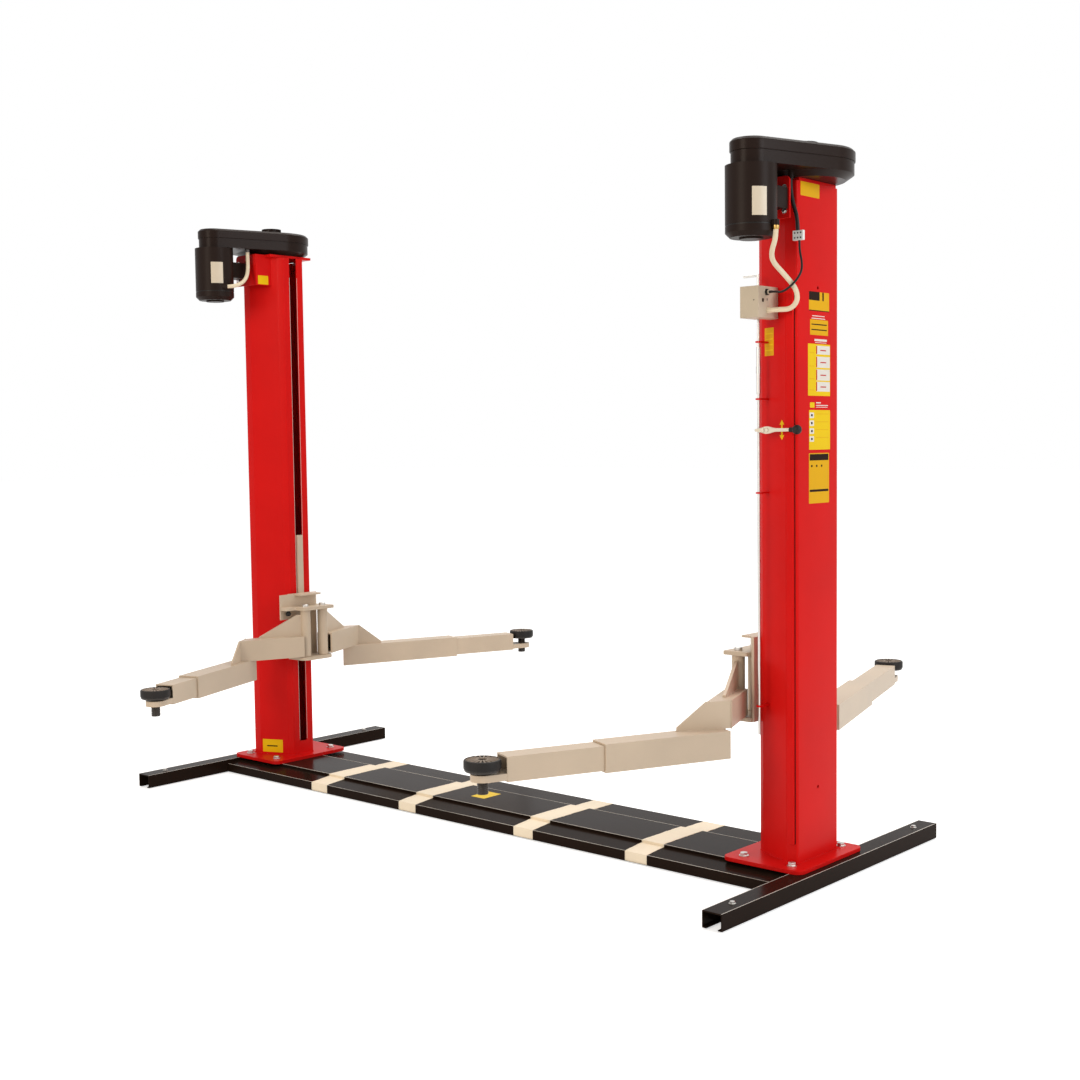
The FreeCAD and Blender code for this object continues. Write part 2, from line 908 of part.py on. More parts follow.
def make_belt_cover(side, turn):
    """The tray on its collar over the head plate, and its lid with the round cap over the screw."""
    hand = 1 if side == "right" else -1
    tray_top = f"({TRAY_LOW} + tray_height)"
    tray = teardrop(f"tray_{side}", hand, "tray_inset", TRAY_LOW, tray_top)
    collar = doc.addObject("Part::Cone", f"collar_{side}")
    bind(
        collar,
        Radius1="cover_big_radius - tray_inset - collar_taper",
        Radius2="cover_big_radius - tray_inset",
        Height="collar_height",
        Placement__Base__x=SCREW_X,
        Placement__Base__z=HEAD_TOP,
    )
    pieces = [tray, collar]
    if side == "right":
        pieces.append(
            rod(
                "cover_gland",
                "gland_radius",
                f"{SCREW_X} + cover_gland_across",
                "-cover_gland_along",
                f"{TRAY_LOW} - cover_gland_length",
                f"{TRAY_LOW} + weld",
            )
        )
    cover = fuse(f"cover_parts_{side}", *pieces)
    turn_about_centre(cover, turn)
    node(f"belt_cover_{side}", cover)
    lid_top = f"({tray_top} + lid_height)"
    lid = teardrop(f"lid_{side}", hand, "0", tray_top, lid_top)
    chamfer = lid.newObject("PartDesign::Chamfer", f"lid_edge_{side}")
    pad = lid.getObject(f"lid_{side}_pad")
    on_top = furthest(pad.Shape, UP)
    chamfer.Base = (pad, [f"Edge{i}" for i, edge in enumerate(pad.Shape.Edges, start=1) if on_top(edge)])
    bind(chamfer, Size="lid_edge")
    doc.recompute()
    cap = rod(f"cap_{side}", "cap_radius", SCREW_X, "0", f"{lid_top} - weld", f"{lid_top} + cap_height")
    item = fuse(f"capped_lid_{side}", lid, cap)
    turn_about_centre(item, turn)
    node(f"cover_lid_{side}", item)


def drilled_ear(name, body, low, high):
    """A hinge plate with the holes of both pins."""
    holes = [
        rod(f"{name}_hole_{i}", "pin_radius", HINGE_X, along, f"{low} - cut_spare", f"{high} + cut_spare")
        for i, along in enumerate(("-hinge_spread", "hinge_spread"))
    ]
    return cut(f"{name}_drilled", body, group(f"{name}_holes", *holes))


def upper_ear(side):
    """The square upper hinge plate, which runs on under the wing."""
    low, high = "top_ear", "(top_ear + ear_thickness)"
    name = f"upper_ear_{side}"
    edge = "(hinge_spread + ear_radius)"
    back = "(plate_width / 2 + wing_reach)"
    outline = [
        (f"{PLATE_FRONT} + weld", f"-{edge}"),
        (f"{PLATE_FRONT} + weld", back),
        (f"{PLATE_FRONT} - ear_shelf", back),
        (f"{PLATE_FRONT} - ear_shelf", edge),
        (f"{HINGE_X} - ear_radius", edge),
        (f"{HINGE_X} - ear_radius", f"-{edge}"),
    ]
    body = prism(name, "XY_Plane", outline, low, high)
    rounded(body, f"{name}_corners", "ear_corner", upright)
    return drilled_ear(name, body, low, high)


def lower_ear(side):
    """The round-ended lower hinge plate."""
    low, high = "bottom_ear", "(bottom_ear + ear_thickness)"
    name = f"lower_ear_{side}"
    edge = "(hinge_spread + ear_radius)"
    plate = block(f"{name}_plate", HINGE_X, f"{PLATE_FRONT} + plate_chamfer", f"-{edge}", edge, low, high)
    middle = block(
        f"{name}_front", f"{HINGE_X} - ear_radius", HINGE_X, "-hinge_spread", "hinge_spread", low, high
    )
    ends = [
        rod(f"{name}_end_{i}", "ear_radius", HINGE_X, along, low, high)
        for i, along in enumerate(("-hinge_spread", "hinge_spread"))
    ]
    return drilled_ear(name, fuse(f"{name}_solid", plate, middle, *ends), low, high)


def make_carriage(side, turn):
    """The carriage: a plate with a wing, hinge ears, and the slider that runs inside the post."""
    top = "(plate_low + plate_height)"
    half = "(plate_width / 2)"
    outline = [
        (PLATE_BACK, f"-{half}"),
        (PLATE_BACK, half),
        (f"{PLATE_FRONT} + plate_chamfer", half),
        (PLATE_FRONT, f"{half} - plate_chamfer"),
        (PLATE_FRONT, f"-({half} - plate_chamfer)"),
        (f"{PLATE_FRONT} + plate_chamfer", f"-{half}"),
    ]
    plate = prism(f"plate_{side}", "XY_Plane", outline, "plate_low", top)
    wing = block(
        f"wing_{side}",
        PLATE_FRONT,
        f"{PLATE_FRONT} + wing_wall",
        f"{half} - plate_chamfer - weld",
        f"{half} + wing_reach",
        f"{top} - wing_height",
        top,
    )
    ledge = block(
        f"ledge_{side}",
        f"{PLATE_FRONT} - ledge_reach",
        f"{PLATE_FRONT} + weld",
        "-ledge_width / 2",
        "ledge_width / 2",
        f"{top} - ledge_thickness",
        top,
    )
    slider_front = f"({INNER} + post_wall + slider_gap)"
    tongue = block(
        f"tongue_{side}",
        f"{PLATE_BACK} - weld",
        f"{slider_front} + weld",
        "-(slot_width / 2 - tongue_clearance)",
        "slot_width / 2 - tongue_clearance",
        "plate_low",
        "plate_low + tongue_height",
    )
    slider = block(
        f"slider_{side}",
        slider_front,
        f"{slider_front} + slider_depth",
        "-slider_width / 2",
        "slider_width / 2",
        "plate_low",
        "plate_low + slider_height",
    )
    nut_low = "(plate_low + nut_rise)"
    nut = block(
        f"nut_{side}",
        f"{slider_front} + slider_depth - weld",
        f"{SCREW_X} + nut_depth",
        "-nut_width / 2",
        "nut_width / 2",
        nut_low,
        f"{nut_low} + nut_height",
    )
    bore = rod(
        f"bore_{side}",
        "screw_radius + screw_clearance",
        SCREW_X,
        "0",
        "plate_low - cut_spare",
        "plate_low + slider_height + cut_spare",
    )
    ears = (upper_ear(side), lower_ear(side))
    body = fuse(f"carriage_parts_{side}", plate, wing, ledge, tongue, slider, nut, *ears)
    carriage = cut(f"bored_carriage_{side}", body, bore)
    turn_about_centre(carriage, turn)
    node(f"carriage_{side}", carriage)
    pins = [
        rod(
            f"pin_{side}_{i}",
            "pin_radius",
            HINGE_X,
            along,
            "bottom_ear",
            "top_ear + ear_thickness + pin_head",
        )
        for i, along in enumerate(("-hinge_spread", "hinge_spread"))
    ]
    item = group(f"pins_{side}", *pins)
    turn_about_centre(item, turn)
    node(f"hinge_pins_{side}", item)


def arm_place(item, arm):
    """Put a piece made about its hinge into the photograph's position."""
    across = HINGE_X if arm.endswith("right") else f"-{HINGE_X}"
    along = "hinge_spread" if arm.startswith("rear") else "-hinge_spread"
    turn_by(item, f"angle_{arm}")
    bind(item, Placement__Base__x=across, Placement__Base__y=along)


def make_arm(arm):
    """A cranked arm: barrel, box closed by a slanted end plate, and the tube below its outer end."""
    side = OUTER_SIDE[arm]
    row = arm.split("_")[0]
    top = "(box_low + box_height)"
    barrel_low = "(bottom_ear + ear_thickness + ear_clearance)"
    barrel_high = "(top_ear - ear_clearance)"
    barrel = rod(f"barrel_{arm}", "barrel_radius", "0", "0", barrel_low, barrel_high)
    bore_radius = "pin_radius + pin_clearance"
    bore = rod(f"barrel_bore_{arm}", bore_radius, "0", "0", "bottom_ear", "top_ear + cut_spare")

    long = "(end_offset / sin(crank_angle) + box_width)"
    outside = block(f"box_out_{arm}", "box_start", long, "-box_width / 2", "box_width / 2", "box_low", top)
    inside = block(
        f"box_in_{arm}",
        "box_start - cut_spare",
        f"{long} + cut_spare",
        "-box_width / 2 + box_wall",
        "box_width / 2 - box_wall",
        "box_low + box_wall",
        f"{top} - box_wall",
    )
    box = cut(f"box_hollow_{arm}", outside, inside)
    turn_by(box, f"{side} * crank_angle")

    flat = "(box_width / sin(crank_angle + end_turn))"
    end_shape = [
        ("0", "box_low"),
        ("0", top),
        (flat, top),
        ("end_length", "box_low + end_toe"),
        ("end_length", "box_low"),
    ]
    plate = prism(f"end_plate_{arm}", "XZ_Plane", end_shape, *ordered(side, "-end_plate", "0"))
    trim = block(
        f"box_trim_{arm}",
        "-box_width",
        f"2 * {long}",
        *ordered(side, "0", long),
        "box_low - cut_spare",
        f"{top} + cut_spare",
    )
    trim = group(f"box_trim_place_{arm}", trim)
    for item in (plate, trim):
        turn_by(item, f"-{side} * end_turn" if side > 0 else "end_turn")
        bind(
            item,
            Placement__Base__x="end_offset / tan(crank_angle) - box_width / 2 / sin(crank_angle)",
            Placement__Base__y=f"{side} * end_offset",
        )
    box = cut(f"box_trimmed_{arm}", box, trim)

    low = "(box_low - tube_height)"
    length = f"tube_{row}_length"
    inner_edge = "(tube_offset - tube_width / 2)"
    outer_edge = "(tube_offset + tube_width / 2)"
    tube = block(
        f"tube_out_{arm}",
        "tube_start",
        f"tube_start + {length}",
        *ordered(side, inner_edge, outer_edge),
        low,
        "box_low",
    )
    hole = block(
        f"tube_in_{arm}",
        "tube_start + tube_wall",
        f"tube_start + {length} + cut_spare",
        *ordered(side, f"{inner_edge} + tube_wall", f"{outer_edge} - tube_wall"),
        f"{low} + tube_wall",
        "box_low - tube_wall",
    )
    tube = cut(f"tube_{arm}", tube, hole)
    heel = block(
        f"heel_{arm}",
        "tube_start - heel_length",
        "tube_start + weld",
        *ordered(side, inner_edge, f"{inner_edge} + heel_plate"),
        low,
        "box_low + weld",
    )

    gusset_shape = [
        ("(barrel_radius + pin_radius) / 2", f"{top} - weld"),
        ("(barrel_radius + pin_radius) / 2", "gusset_top"),
        ("gusset_head", "gusset_top"),
        ("gusset_length", f"{top} + gusset_toe"),
        ("gusset_length", f"{top} - weld"),
    ]
    gusset = prism(f"gusset_{arm}", "XZ_Plane", gusset_shape, "-gusset_plate / 2", "gusset_plate / 2")
    turn_by(gusset, f"{side} * crank_angle")

    parts = fuse(f"arm_parts_{arm}", barrel, box, plate, tube, heel, gusset)
    item = cut(f"bored_arm_{arm}", parts, bore)
    arm_place(item, arm)
    node(f"arm_{arm}", item)


def make_slide(arm):
    """The inner tube with the tongue that holds the pad's screw."""
    side = OUTER_SIDE[arm]
    row = arm.split("_")[0]
    reach = f"reach_{arm}"
    end = f"({reach} - tongue_gap)"
    start = f"({end} - slide_{row}_length)"
    gap = "(tube_wall + slide_gap)"
    low = f"(box_low - tube_height + {gap})"
    high = f"(box_low - {gap})"
    outer = block(
        f"slide_out_{arm}",
        start,
        end,
        *ordered(side, f"tube_offset - tube_width / 2 + {gap}", f"tube_offset + tube_width / 2 - {gap}"),
        low,
        high,
    )
    inner = block(
        f"slide_in_{arm}",
        f"{start} - cut_spare",
        f"{end} + cut_spare",
        *ordered(
            side,
            f"tube_offset - tube_width / 2 + {gap} + slide_wall",
            f"tube_offset + tube_width / 2 - {gap} - slide_wall",
        ),
        f"{low} + slide_wall",
        f"{high} - slide_wall",
    )
    tube = cut(f"slide_{arm}", outer, inner)
    tongue_low = f"{low} + slide_wall - weld"
    tongue_high = f"{tongue_low} + tongue_thickness"
    tongue = block(
        f"slide_tongue_{arm}",
        f"{end} - tongue_overlap",
        reach,
        *ordered(side, "tube_offset - tongue_radius", "tube_offset + tongue_radius"),
        tongue_low,
        tongue_high,
    )
    tip = rod(f"slide_tip_{arm}", "tongue_radius", reach, f"{side} * tube_offset", tongue_low, tongue_high)
    bore = rod(
        f"slide_bore_{arm}",
        "stem_radius + stem_clearance",
        reach,
        f"{side} * tube_offset",
        f"{low} - cut_spare",
        f"{high} + cut_spare",
    )
    parts = fuse(f"slide_parts_{arm}", tube, tongue, tip)
    item = cut(f"bored_slide_{arm}", parts, bore)
    arm_place(item, arm)
    node(f"arm_slide_{arm}", item)


def make_pad(arm):
    """The round pad on its screw."""
    side = OUTER_SIDE[arm]
    top = "(disc_low + disc_thickness)"
    outline = [
        ("0", "stem_low"),
        ("stem_radius - stem_edge", "stem_low"),
        ("stem_radius", "stem_low + stem_edge"),
        ("stem_radius", "disc_low"),
        ("disc_radius", "disc_low"),
        ("disc_radius", f"{top} - disc_edge"),
        ("disc_radius - disc_edge", top),
        ("0", top),
    ]
    body = turned(f"pad_body_{arm}", outline, f"reach_{arm}", f"{side} * tube_offset", f"raise_{arm}")
    item = group(f"pad_place_{arm}", body)
    arm_place(item, arm)
    node(f"pad_{arm}", item)


def make_control_box():
    """The switch box on the slanted side of the right post, notched round the rod, with its gland."""
    right = f"({BOX_LEFT} + box_span)"
    front = f"({ROD_Y} + box_reach)"
    notch_back = f"({ROD_Y} + rod_radius + rod_gap)"
    notch_right = f"({ROD_X} + rod_radius + saddle_gap)"
    outline = [
        (BOX_LEFT, f"-{front}"),
        (right, f"-{front}"),
        (right, f"-({post_half(right)})"),
        (notch_right, f"-({post_half(notch_right)})"),
        (notch_right, f"-{notch_back}"),
        (BOX_LEFT, f"-{notch_back}"),
    ]
    case = prism("switch_case", "XY_Plane", outline, "box_bottom", "box_bottom + box_tall")
    gland = lying(
        "switch_gland",
        ALONG_X,
        "box_gland_radius",
        "box_gland_length + weld",
        f"{right} - weld",
        "-box_gland_along",
        "box_bottom + box_gland_rise",
    )
    node("control_box", fuse("switch_box", case, gland))


def make_rod():
    """The guides on the post, and the rod in them with its sleeve, its clamp and its bent top."""
    clips = []
    left = f"({ROD_X} - clip_radius)"
    right = f"({ROD_X} + clip_radius)"
    for place in ("first", "second", "third", "fourth"):
        low = f"clip_{place}"
        high = f"(clip_{place} + clip_thickness)"
        outline = [
            (left, f"-{ROD_Y}"),
            (right, f"-{ROD_Y}"),
            (right, f"-({post_half(right)})"),
            (left, f"-({post_half(left)})"),
        ]
        arm = prism(f"clip_arm_{place}", "XY_Plane", outline, low, high)
        ring = rod(f"clip_ring_{place}", "clip_radius", ROD_X, f"-{ROD_Y}", low, high)
        hole = rod(
            f"clip_bore_{place}",
            "rod_radius + clip_clearance",
            ROD_X,
            f"-{ROD_Y}",
            f"{low} - cut_spare",
            f"{high} + cut_spare",
        )
        clips.append(cut(f"bored_clip_{place}", fuse(f"clip_solid_{place}", arm, ring), hole))
    node("rod_clips", group("clips", *clips))

    pieces = [
        rod(f"rod_{name}", radius, ROD_X, f"-{ROD_Y}", low, high)
        for name, radius, low, high in (
            ("shaft", "rod_radius", "rod_low", "rod_high + rod_radius"),
            ("sleeve", "sleeve_radius", "sleeve_low", "sleeve_low + sleeve_length"),
            ("clamp", "clamp_radius", "clamp_low", "clamp_low + clamp_length"),
        )
    ]
    hook = lying("rod_hook_bar", -ALONG_X, "rod_radius", "rod_hook", ROD_X, f"-{ROD_Y}", "rod_high")
    node("switch_rod", fuse("rod_parts", *pieces, hook))


def make_lever():
    """The lever on its pin in front of the rod."""
    front = f"({ROD_Y} + rod_radius + lever_gap + lever_sheet)"
    pin_seat = post_half(f"({LEVER_X} + pin_radius / 2)")
    pin = lying(
        "lever_pin_bar",
        -ALONG_Y,
        "pin_radius / 2",
        f"{front} - {pin_seat}",
        LEVER_X,
        f"-({pin_seat})",
        "lever_height",
    )
    node("lever_pin", pin)
    hub, bore = (
        lying(name, ALONG_Y, radius, "lever_sheet", LEVER_X, f"-{front}", "lever_height")
        for name, radius in (("lever_hub", "hub_radius"), ("lever_bore", "pin_radius / 2 + pin_clearance"))
    )
    bar = block(
        "lever_bar_block",
        f"{LEVER_X} - lever_tail",
        f"{LEVER_X} + lever_reach",
        f"-{front}",
        f"-{front} + lever_sheet",
        "lever_height - lever_bar / 2",
        "lever_height + lever_bar / 2",
    )
    barrel = [
        ("0", "-knob_length / 2"),
        ("knob_radius - knob_edge", "-knob_length / 2"),
        ("knob_radius", "-knob_length / 2 + knob_edge"),
        ("knob_radius", "knob_length / 2 - knob_edge"),
        ("knob_radius - knob_edge", "knob_length / 2"),
        ("0", "knob_length / 2"),
    ]
    knob = turned(
        "lever_knob", barrel, f"{LEVER_X} + lever_reach", f"-{front} + lever_sheet / 2", "lever_height"
    )
    node("control_lever", cut("bored_lever", fuse("lever_parts", hub, bar, knob), bore))


def make_strip():
    """The cover strip over the cable on the right post's side, and the terminal block above it."""
    right = f"({OUTER} - side_straight / 2 + strip_width / 2)"
    strip = block(
        "strip",
        f"{right} - strip_width",
        right,
        "-web_width / 2 - strip_depth",
        "-web_width / 2",
        "strip_low",
        "strip_high",
    )
    node("cable_strip", strip)
    left = f"({INNER} + terminal_across)"
    terminal = block(
        "terminal",
        left,
        f"{left} + terminal_width",
        "-web_width / 2 - terminal_stand - terminal_depth",
        "-web_width / 2 - terminal_stand",
        "terminal_low",
        "terminal_low + terminal_height",
    )
    node("terminal_block", terminal)


def make_cord(name, diameter, points):
    """A tube on straight runs joined by tangent arcs, each as large as its two runs allow."""
    route = [FreeCAD.Vector(*point) for point in points]
    edges = []
    radii = []
    start = route[0]
    for before, corner, after in zip(route, route[1:], route[2:]):
        back = before - corner
        ahead = after - corner
        half_turn = (math.pi - back.getAngle(ahead)) / 2
        reach = ARC_SHARE * min(back.Length, ahead.Length)
        radius = reach / math.tan(half_turn)
        back.normalize()
        ahead.normalize()
        inward = (back + ahead).normalize()
        middle = corner + inward * (radius / math.cos(half_turn) - radius)
        first = corner + back * reach
        last = corner + ahead * reach
        edges.append(Part.LineSegment(start, first).toShape())
        edges.append(Part.Arc(first, middle, last).toShape())
        radii.append(round(radius))
        start = last
    edges.append(Part.LineSegment(start, route[-1]).toShape())
    path = Part.Wire(edges)
    ring = Part.Wire(Part.Circle(route[0], route[1] - route[0], diameter / 2).toShape())
    item = doc.addObject("Part::Feature", name)
    item.Shape = path.makePipeShell([ring], True, False)
    expected = math.pi * diameter**2 / 4 * path.Length
    share = round(item.Shape.Volume / expected, 4)
    print(name, "length", round(path.Length), "radii", radii, "volume", share)
    node(name, item)


for post_side, degrees in POST_TURN.items():
    make_post(post_side, degrees)
    make_flange(post_side, degrees)
    make_foot(post_side, degrees)
    make_screw(post_side, degrees)
    make_head(post_side, degrees)
    make_motor(post_side, degrees)
    make_belt_cover(post_side, degrees)
    make_carriage(post_side, degrees)
make_levelling_feet()
make_base()
for arm_name in ARMS:
    make_arm(arm_name)
    make_slide(arm_name)
    make_pad(arm_name)
make_control_box()
make_rod()
make_lever()
make_strip()
for cord_name, (cord_size, cord_route) in CORDS.items():
    make_cord(cord_name, size(cord_size), cord_route)
doc.recompute()

for item in doc.Objects:
    if {"Invalid", "Error"} & set(item.State):
        raise RuntimeError(f"{item.Label} failed: {item.State}")
for name, item in nodes.items():
    if item.Shape.isNull() or not item.Shape.isValid() or not item.Shape.Solids:
        raise RuntimeError(f"{name} has no valid solid")

os.makedirs("parts", exist_ok=True)
for name, item in nodes.items():
    item.Shape.exportStep(f"parts/{name}.step")
    print(name, len(item.Shape.Solids), round(item.Shape.Volume / 1e6, 3))
total = sum(item.Shape.Volume for item in nodes.values())
print(len(nodes), "nodes", round(total / 1e9, 4), "cubic metres")
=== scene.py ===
"""Studio scene of a two-post car lift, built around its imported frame, in metres.

X runs from the left post to the right one, Y along the car, Z up from the floor.
"""

import json
import logging
import math
from dataclasses import dataclass, field
from enum import Enum
from typing import Iterable, Sequence

import bmesh
import bpy
from mathutils import Matrix, Vector, noise


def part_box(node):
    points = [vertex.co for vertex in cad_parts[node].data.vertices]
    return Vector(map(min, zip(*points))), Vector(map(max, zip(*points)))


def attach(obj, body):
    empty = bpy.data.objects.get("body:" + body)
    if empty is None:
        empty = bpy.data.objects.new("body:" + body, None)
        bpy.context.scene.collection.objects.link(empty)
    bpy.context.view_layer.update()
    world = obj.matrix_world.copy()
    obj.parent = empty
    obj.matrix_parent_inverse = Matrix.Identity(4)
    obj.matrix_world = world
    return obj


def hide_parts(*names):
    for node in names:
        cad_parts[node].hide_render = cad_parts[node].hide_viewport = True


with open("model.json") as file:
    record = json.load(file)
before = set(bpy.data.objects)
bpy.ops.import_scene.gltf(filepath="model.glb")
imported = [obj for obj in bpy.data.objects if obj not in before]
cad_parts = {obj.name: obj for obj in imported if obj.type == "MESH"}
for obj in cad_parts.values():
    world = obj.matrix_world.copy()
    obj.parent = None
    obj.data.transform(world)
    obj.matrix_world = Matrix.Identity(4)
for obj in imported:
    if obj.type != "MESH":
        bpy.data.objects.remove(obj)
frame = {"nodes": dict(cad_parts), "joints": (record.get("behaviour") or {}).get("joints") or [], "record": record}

log = logging.getLogger("car_lift")

Spot = tuple[float, float]
Point = tuple[float, float, float]
Colour = tuple[float, float, float]

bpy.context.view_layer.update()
NODES = frame["nodes"]
ARM_NAMES = ("front_right", "front_left", "rear_left", "rear_right")
FLOAT = "NodeSocketFloat"
GEOMETRY = "NodeSocketGeometry"
JOINTS = {joint["name"]: joint for joint in frame["joints"]}

POST_INNER = 1.376
POST_HALF = ((POST_INNER, 0.060), (1.400, 0.078), (1.539, 0.140), (1.589, 0.140))


class Side(Enum):
    """The two posts, with the direction in which each lies from the middle."""

    RIGHT = 1
    LEFT = -1

    @property
    def word(self) -> str:
        """The side's name in the nodes."""
        return self.name.lower()


@dataclass(frozen=True)
class Finish:
    """One surface finish: its colour, gloss, grain and wear."""

    name: str
    colour: Colour
    roughness: float = 0.4
    metallic: float = 0.0
    coat: float = 0.0
    specular: float = 0.5
    grain_scale: float = 300.0
    grain_height: float = 0.00005
    tone_scale: float = 4.0
    tone_spread: float = 0.06
    gloss_spread: float = 0.06
    dust: float = 0.0


def new_tree(kind: str, name: str, inputs: dict[str, object], outputs: dict[str, str]) -> bpy.types.NodeTree:
    """Make a node group that holds only its end nodes, named in and out.

    Args:
        kind: the tree's type.
        name: the group's name.
        inputs: each input with its default, or with its socket type where it has no default.
        outputs: each output with its socket type.

    Returns:
        The new group.
    """
    tree = bpy.data.node_groups.new(name, kind)
    for title, value in inputs.items():
        typed = isinstance(value, str)
        socket = tree.interface.new_socket(title, in_out="INPUT", socket_type=value if typed else FLOAT)
        if not typed:
            socket.default_value = value
    for title, socket_type in outputs.items():
        tree.interface.new_socket(title, in_out="OUTPUT", socket_type=socket_type)
    tree.nodes.new("NodeGroupInput").name = "in"
    tree.nodes.new("NodeGroupOutput").name = "out"
    return tree


def fill(tree: bpy.types.NodeTree, kinds: dict[str, str], values: dict[str, object], wires: str) -> None:
    """Add nodes to a tree, set them and wire them up.

    Args:
        tree: the tree that gets the nodes.
        kinds: each new node's name with its type.
        values: what to set, under "node.input" for an input and "node:setting" for a setting.
        wires: "node.output > node.input" for each wire, with semicolons between them. A number
            stands for a socket's place.
    """

    def socket(sockets: Sequence[bpy.types.NodeSocket], key: str) -> bpy.types.NodeSocket:
        """The socket of a name or of a place."""
        return sockets[int(key) if key.isdigit() else key]

    for name, kind in kinds.items():
        tree.nodes.new(kind).name = name
    for title, value in values.items():
        if ":" in title:
            name, setting = title.split(":")
            setattr(tree.nodes[name], setting, value)
        else:
            name, key = title.split(".")
            socket(tree.nodes[name].inputs, key).default_value = value
    for wire in wires.split(";"):
        (start, leaves), (end, enters) = (part.strip().split(".") for part in wire.split(">"))
        tree.links.new(socket(tree.nodes[start].outputs, leaves), socket(tree.nodes[end].inputs, enters))


def round_edges(item: bpy.types.Object, width: float, angle: float) -> bpy.types.Modifier:
    """Round an object's sharp edges.

    Args:
        item: the object.
        width: the rounding's width.
        angle: the angle in degrees past which an edge is sharp.

    Returns:
        The new modifier.
    """
    bevel = item.modifiers.new("soft_edges", "BEVEL")
    bevel.width = width
    bevel.segments = 2
    bevel.limit_method = "ANGLE"
    bevel.angle_limit = math.radians(angle)
    return bevel


class Workshop:
    """Builds the shared shader groups once and the material of each finish once."""

    coat_roughness: float = 0.08
    dust_colour: tuple[float, ...] = (0.42, 0.36, 0.30, 1.0)

    def __init__(self) -> None:
        """Build the groups, and start with no material."""
        self.made: dict[str, bpy.types.Material] = {}
        self.tone = self._noise_group("uneven_tone", 4.0, 5.0, "Tone")
        self.grain = self._noise_group("surface_grain", 300.0, 3.0, "Height")
        self.dust = self._dust_group()

    @staticmethod
    def _noise_group(name: str, scale: float, detail: float, result: str) -> bpy.types.NodeTree:
        """Noise between 0 and 1 in the object's own place: a tone, or a grain's height."""
        tree = new_tree("ShaderNodeTree", name, {"Scale": scale}, {result: FLOAT})
        fill(
            tree, {"place": "ShaderNodeTexCoord", "cloud": "ShaderNodeTexNoise"},
            {"cloud.Detail": detail},
            f"place.Object > cloud.Vector; in.Scale > cloud.Scale; cloud.Fac > out.{result}",
        )
        return tree

    @staticmethod
    def _dust_group() -> bpy.types.NodeTree:
        """Dust that lies on faces that look upwards, as a mask."""
        tree = new_tree("ShaderNodeTree", "settled_dust", {"Amount": 0.2}, {"Mask": FLOAT})
        fill(
            tree,
            {
                "place": "ShaderNodeTexCoord", "shape": "ShaderNodeNewGeometry",
                "split": "ShaderNodeSeparateXYZ", "rise": "ShaderNodeMapRange",
                "patch": "ShaderNodeTexNoise", "mix": "ShaderNodeMath", "share": "ShaderNodeMath",
            },
            {
                "rise.From Min": 0.6, "patch.Scale": 14.0, "patch.Detail": 6.0,
                "mix:operation": "MULTIPLY", "share:operation": "MULTIPLY",
            },
            "shape.Normal > split.Vector; split.Z > rise.Value; place.Object > patch.Vector;"
            "rise.Result > mix.0; patch.Fac > mix.1; mix.0 > share.0; in.Amount > share.1;"
            "share.0 > out.Mask",
        )
        return tree

    def material(self, finish: Finish) -> bpy.types.Material:
        """The material of a finish, built the first time that it is asked for.

        Args:
            finish: what the surface is made of.

        Returns:
            A material with its own Principled shader.
        """
        if finish.name in self.made:
            return self.made[finish.name]
        material = bpy.data.materials.new(finish.name)
        material.use_nodes = True
        fill(
            material.node_tree,
            {
                "tone": "ShaderNodeGroup", "shade": "ShaderNodeMapRange", "colour": "ShaderNodeMix",
                "dust": "ShaderNodeGroup", "dusty": "ShaderNodeMix", "gloss": "ShaderNodeMapRange",
                "grain": "ShaderNodeGroup", "bump": "ShaderNodeBump",
            },
            {
                "Principled BSDF.Metallic": finish.metallic, "Principled BSDF.Coat Weight": finish.coat,
                "Principled BSDF.Coat Roughness": self.coat_roughness,
                "Principled BSDF.Specular IOR Level": finish.specular, "tone:node_tree": self.tone,
                "tone.Scale": finish.tone_scale, "shade.From Min": 0.3, "shade.From Max": 0.7,
                "shade.To Min": 1.0 - finish.tone_spread, "shade.To Max": 1.0 + finish.tone_spread,
                "colour:data_type": "RGBA", "colour:blend_type": "MULTIPLY", "colour.Factor": 1.0,
                "colour.6": (*finish.colour, 1.0), "dust:node_tree": self.dust,
                "dust.Amount": finish.dust, "dusty:data_type": "RGBA", "dusty.7": self.dust_colour,
                "gloss.To Min": finish.roughness - finish.gloss_spread,
                "gloss.To Max": finish.roughness + finish.gloss_spread, "grain:node_tree": self.grain,
                "grain.Scale": finish.grain_scale, "bump.Distance": finish.grain_height,
            },
            "tone.Tone > shade.Value; shade.Result > colour.7; dust.Mask > dusty.Factor;"
            "colour.2 > dusty.6; dusty.2 > Principled BSDF.Base Color; tone.Tone > gloss.Value;"
            "gloss.Result > Principled BSDF.Roughness; grain.Height > bump.Height;"
            "bump.Normal > Principled BSDF.Normal",
        )
        self.made[finish.name] = material
        return material


RED_PAINT = Finish("red_paint", (0.66, 0.008, 0.007), 0.34, coat=0.02, specular=0.05, tone_spread=0.05)
BEIGE_PAINT = Finish(
    "beige_paint", (0.58, 0.465, 0.345), 0.44, coat=0.08, specular=0.2, tone_spread=0.05, dust=0.05
)
BLACK_PAINT = Finish("black_paint", (0.016, 0.009, 0.006), 0.20, specular=0.02)
MOTOR_PAINT = Finish("motor_paint", (0.018, 0.010, 0.0075), 0.40, specular=0.08)
COVER_PLASTIC = Finish("cover_plastic", (0.018, 0.010, 0.0075), 0.30, specular=0.07)
STEEL = Finish("steel", (0.60, 0.58, 0.55), 0.30, metallic=1.0, gloss_spread=0.1)
BRUSHED = Finish("brushed_plate", (0.62, 0.55, 0.44), 0.38, metallic=0.6, gloss_spread=0.1)
DARK_STEEL = Finish("dark_steel", (0.10, 0.09, 0.085), 0.38, metallic=1.0)
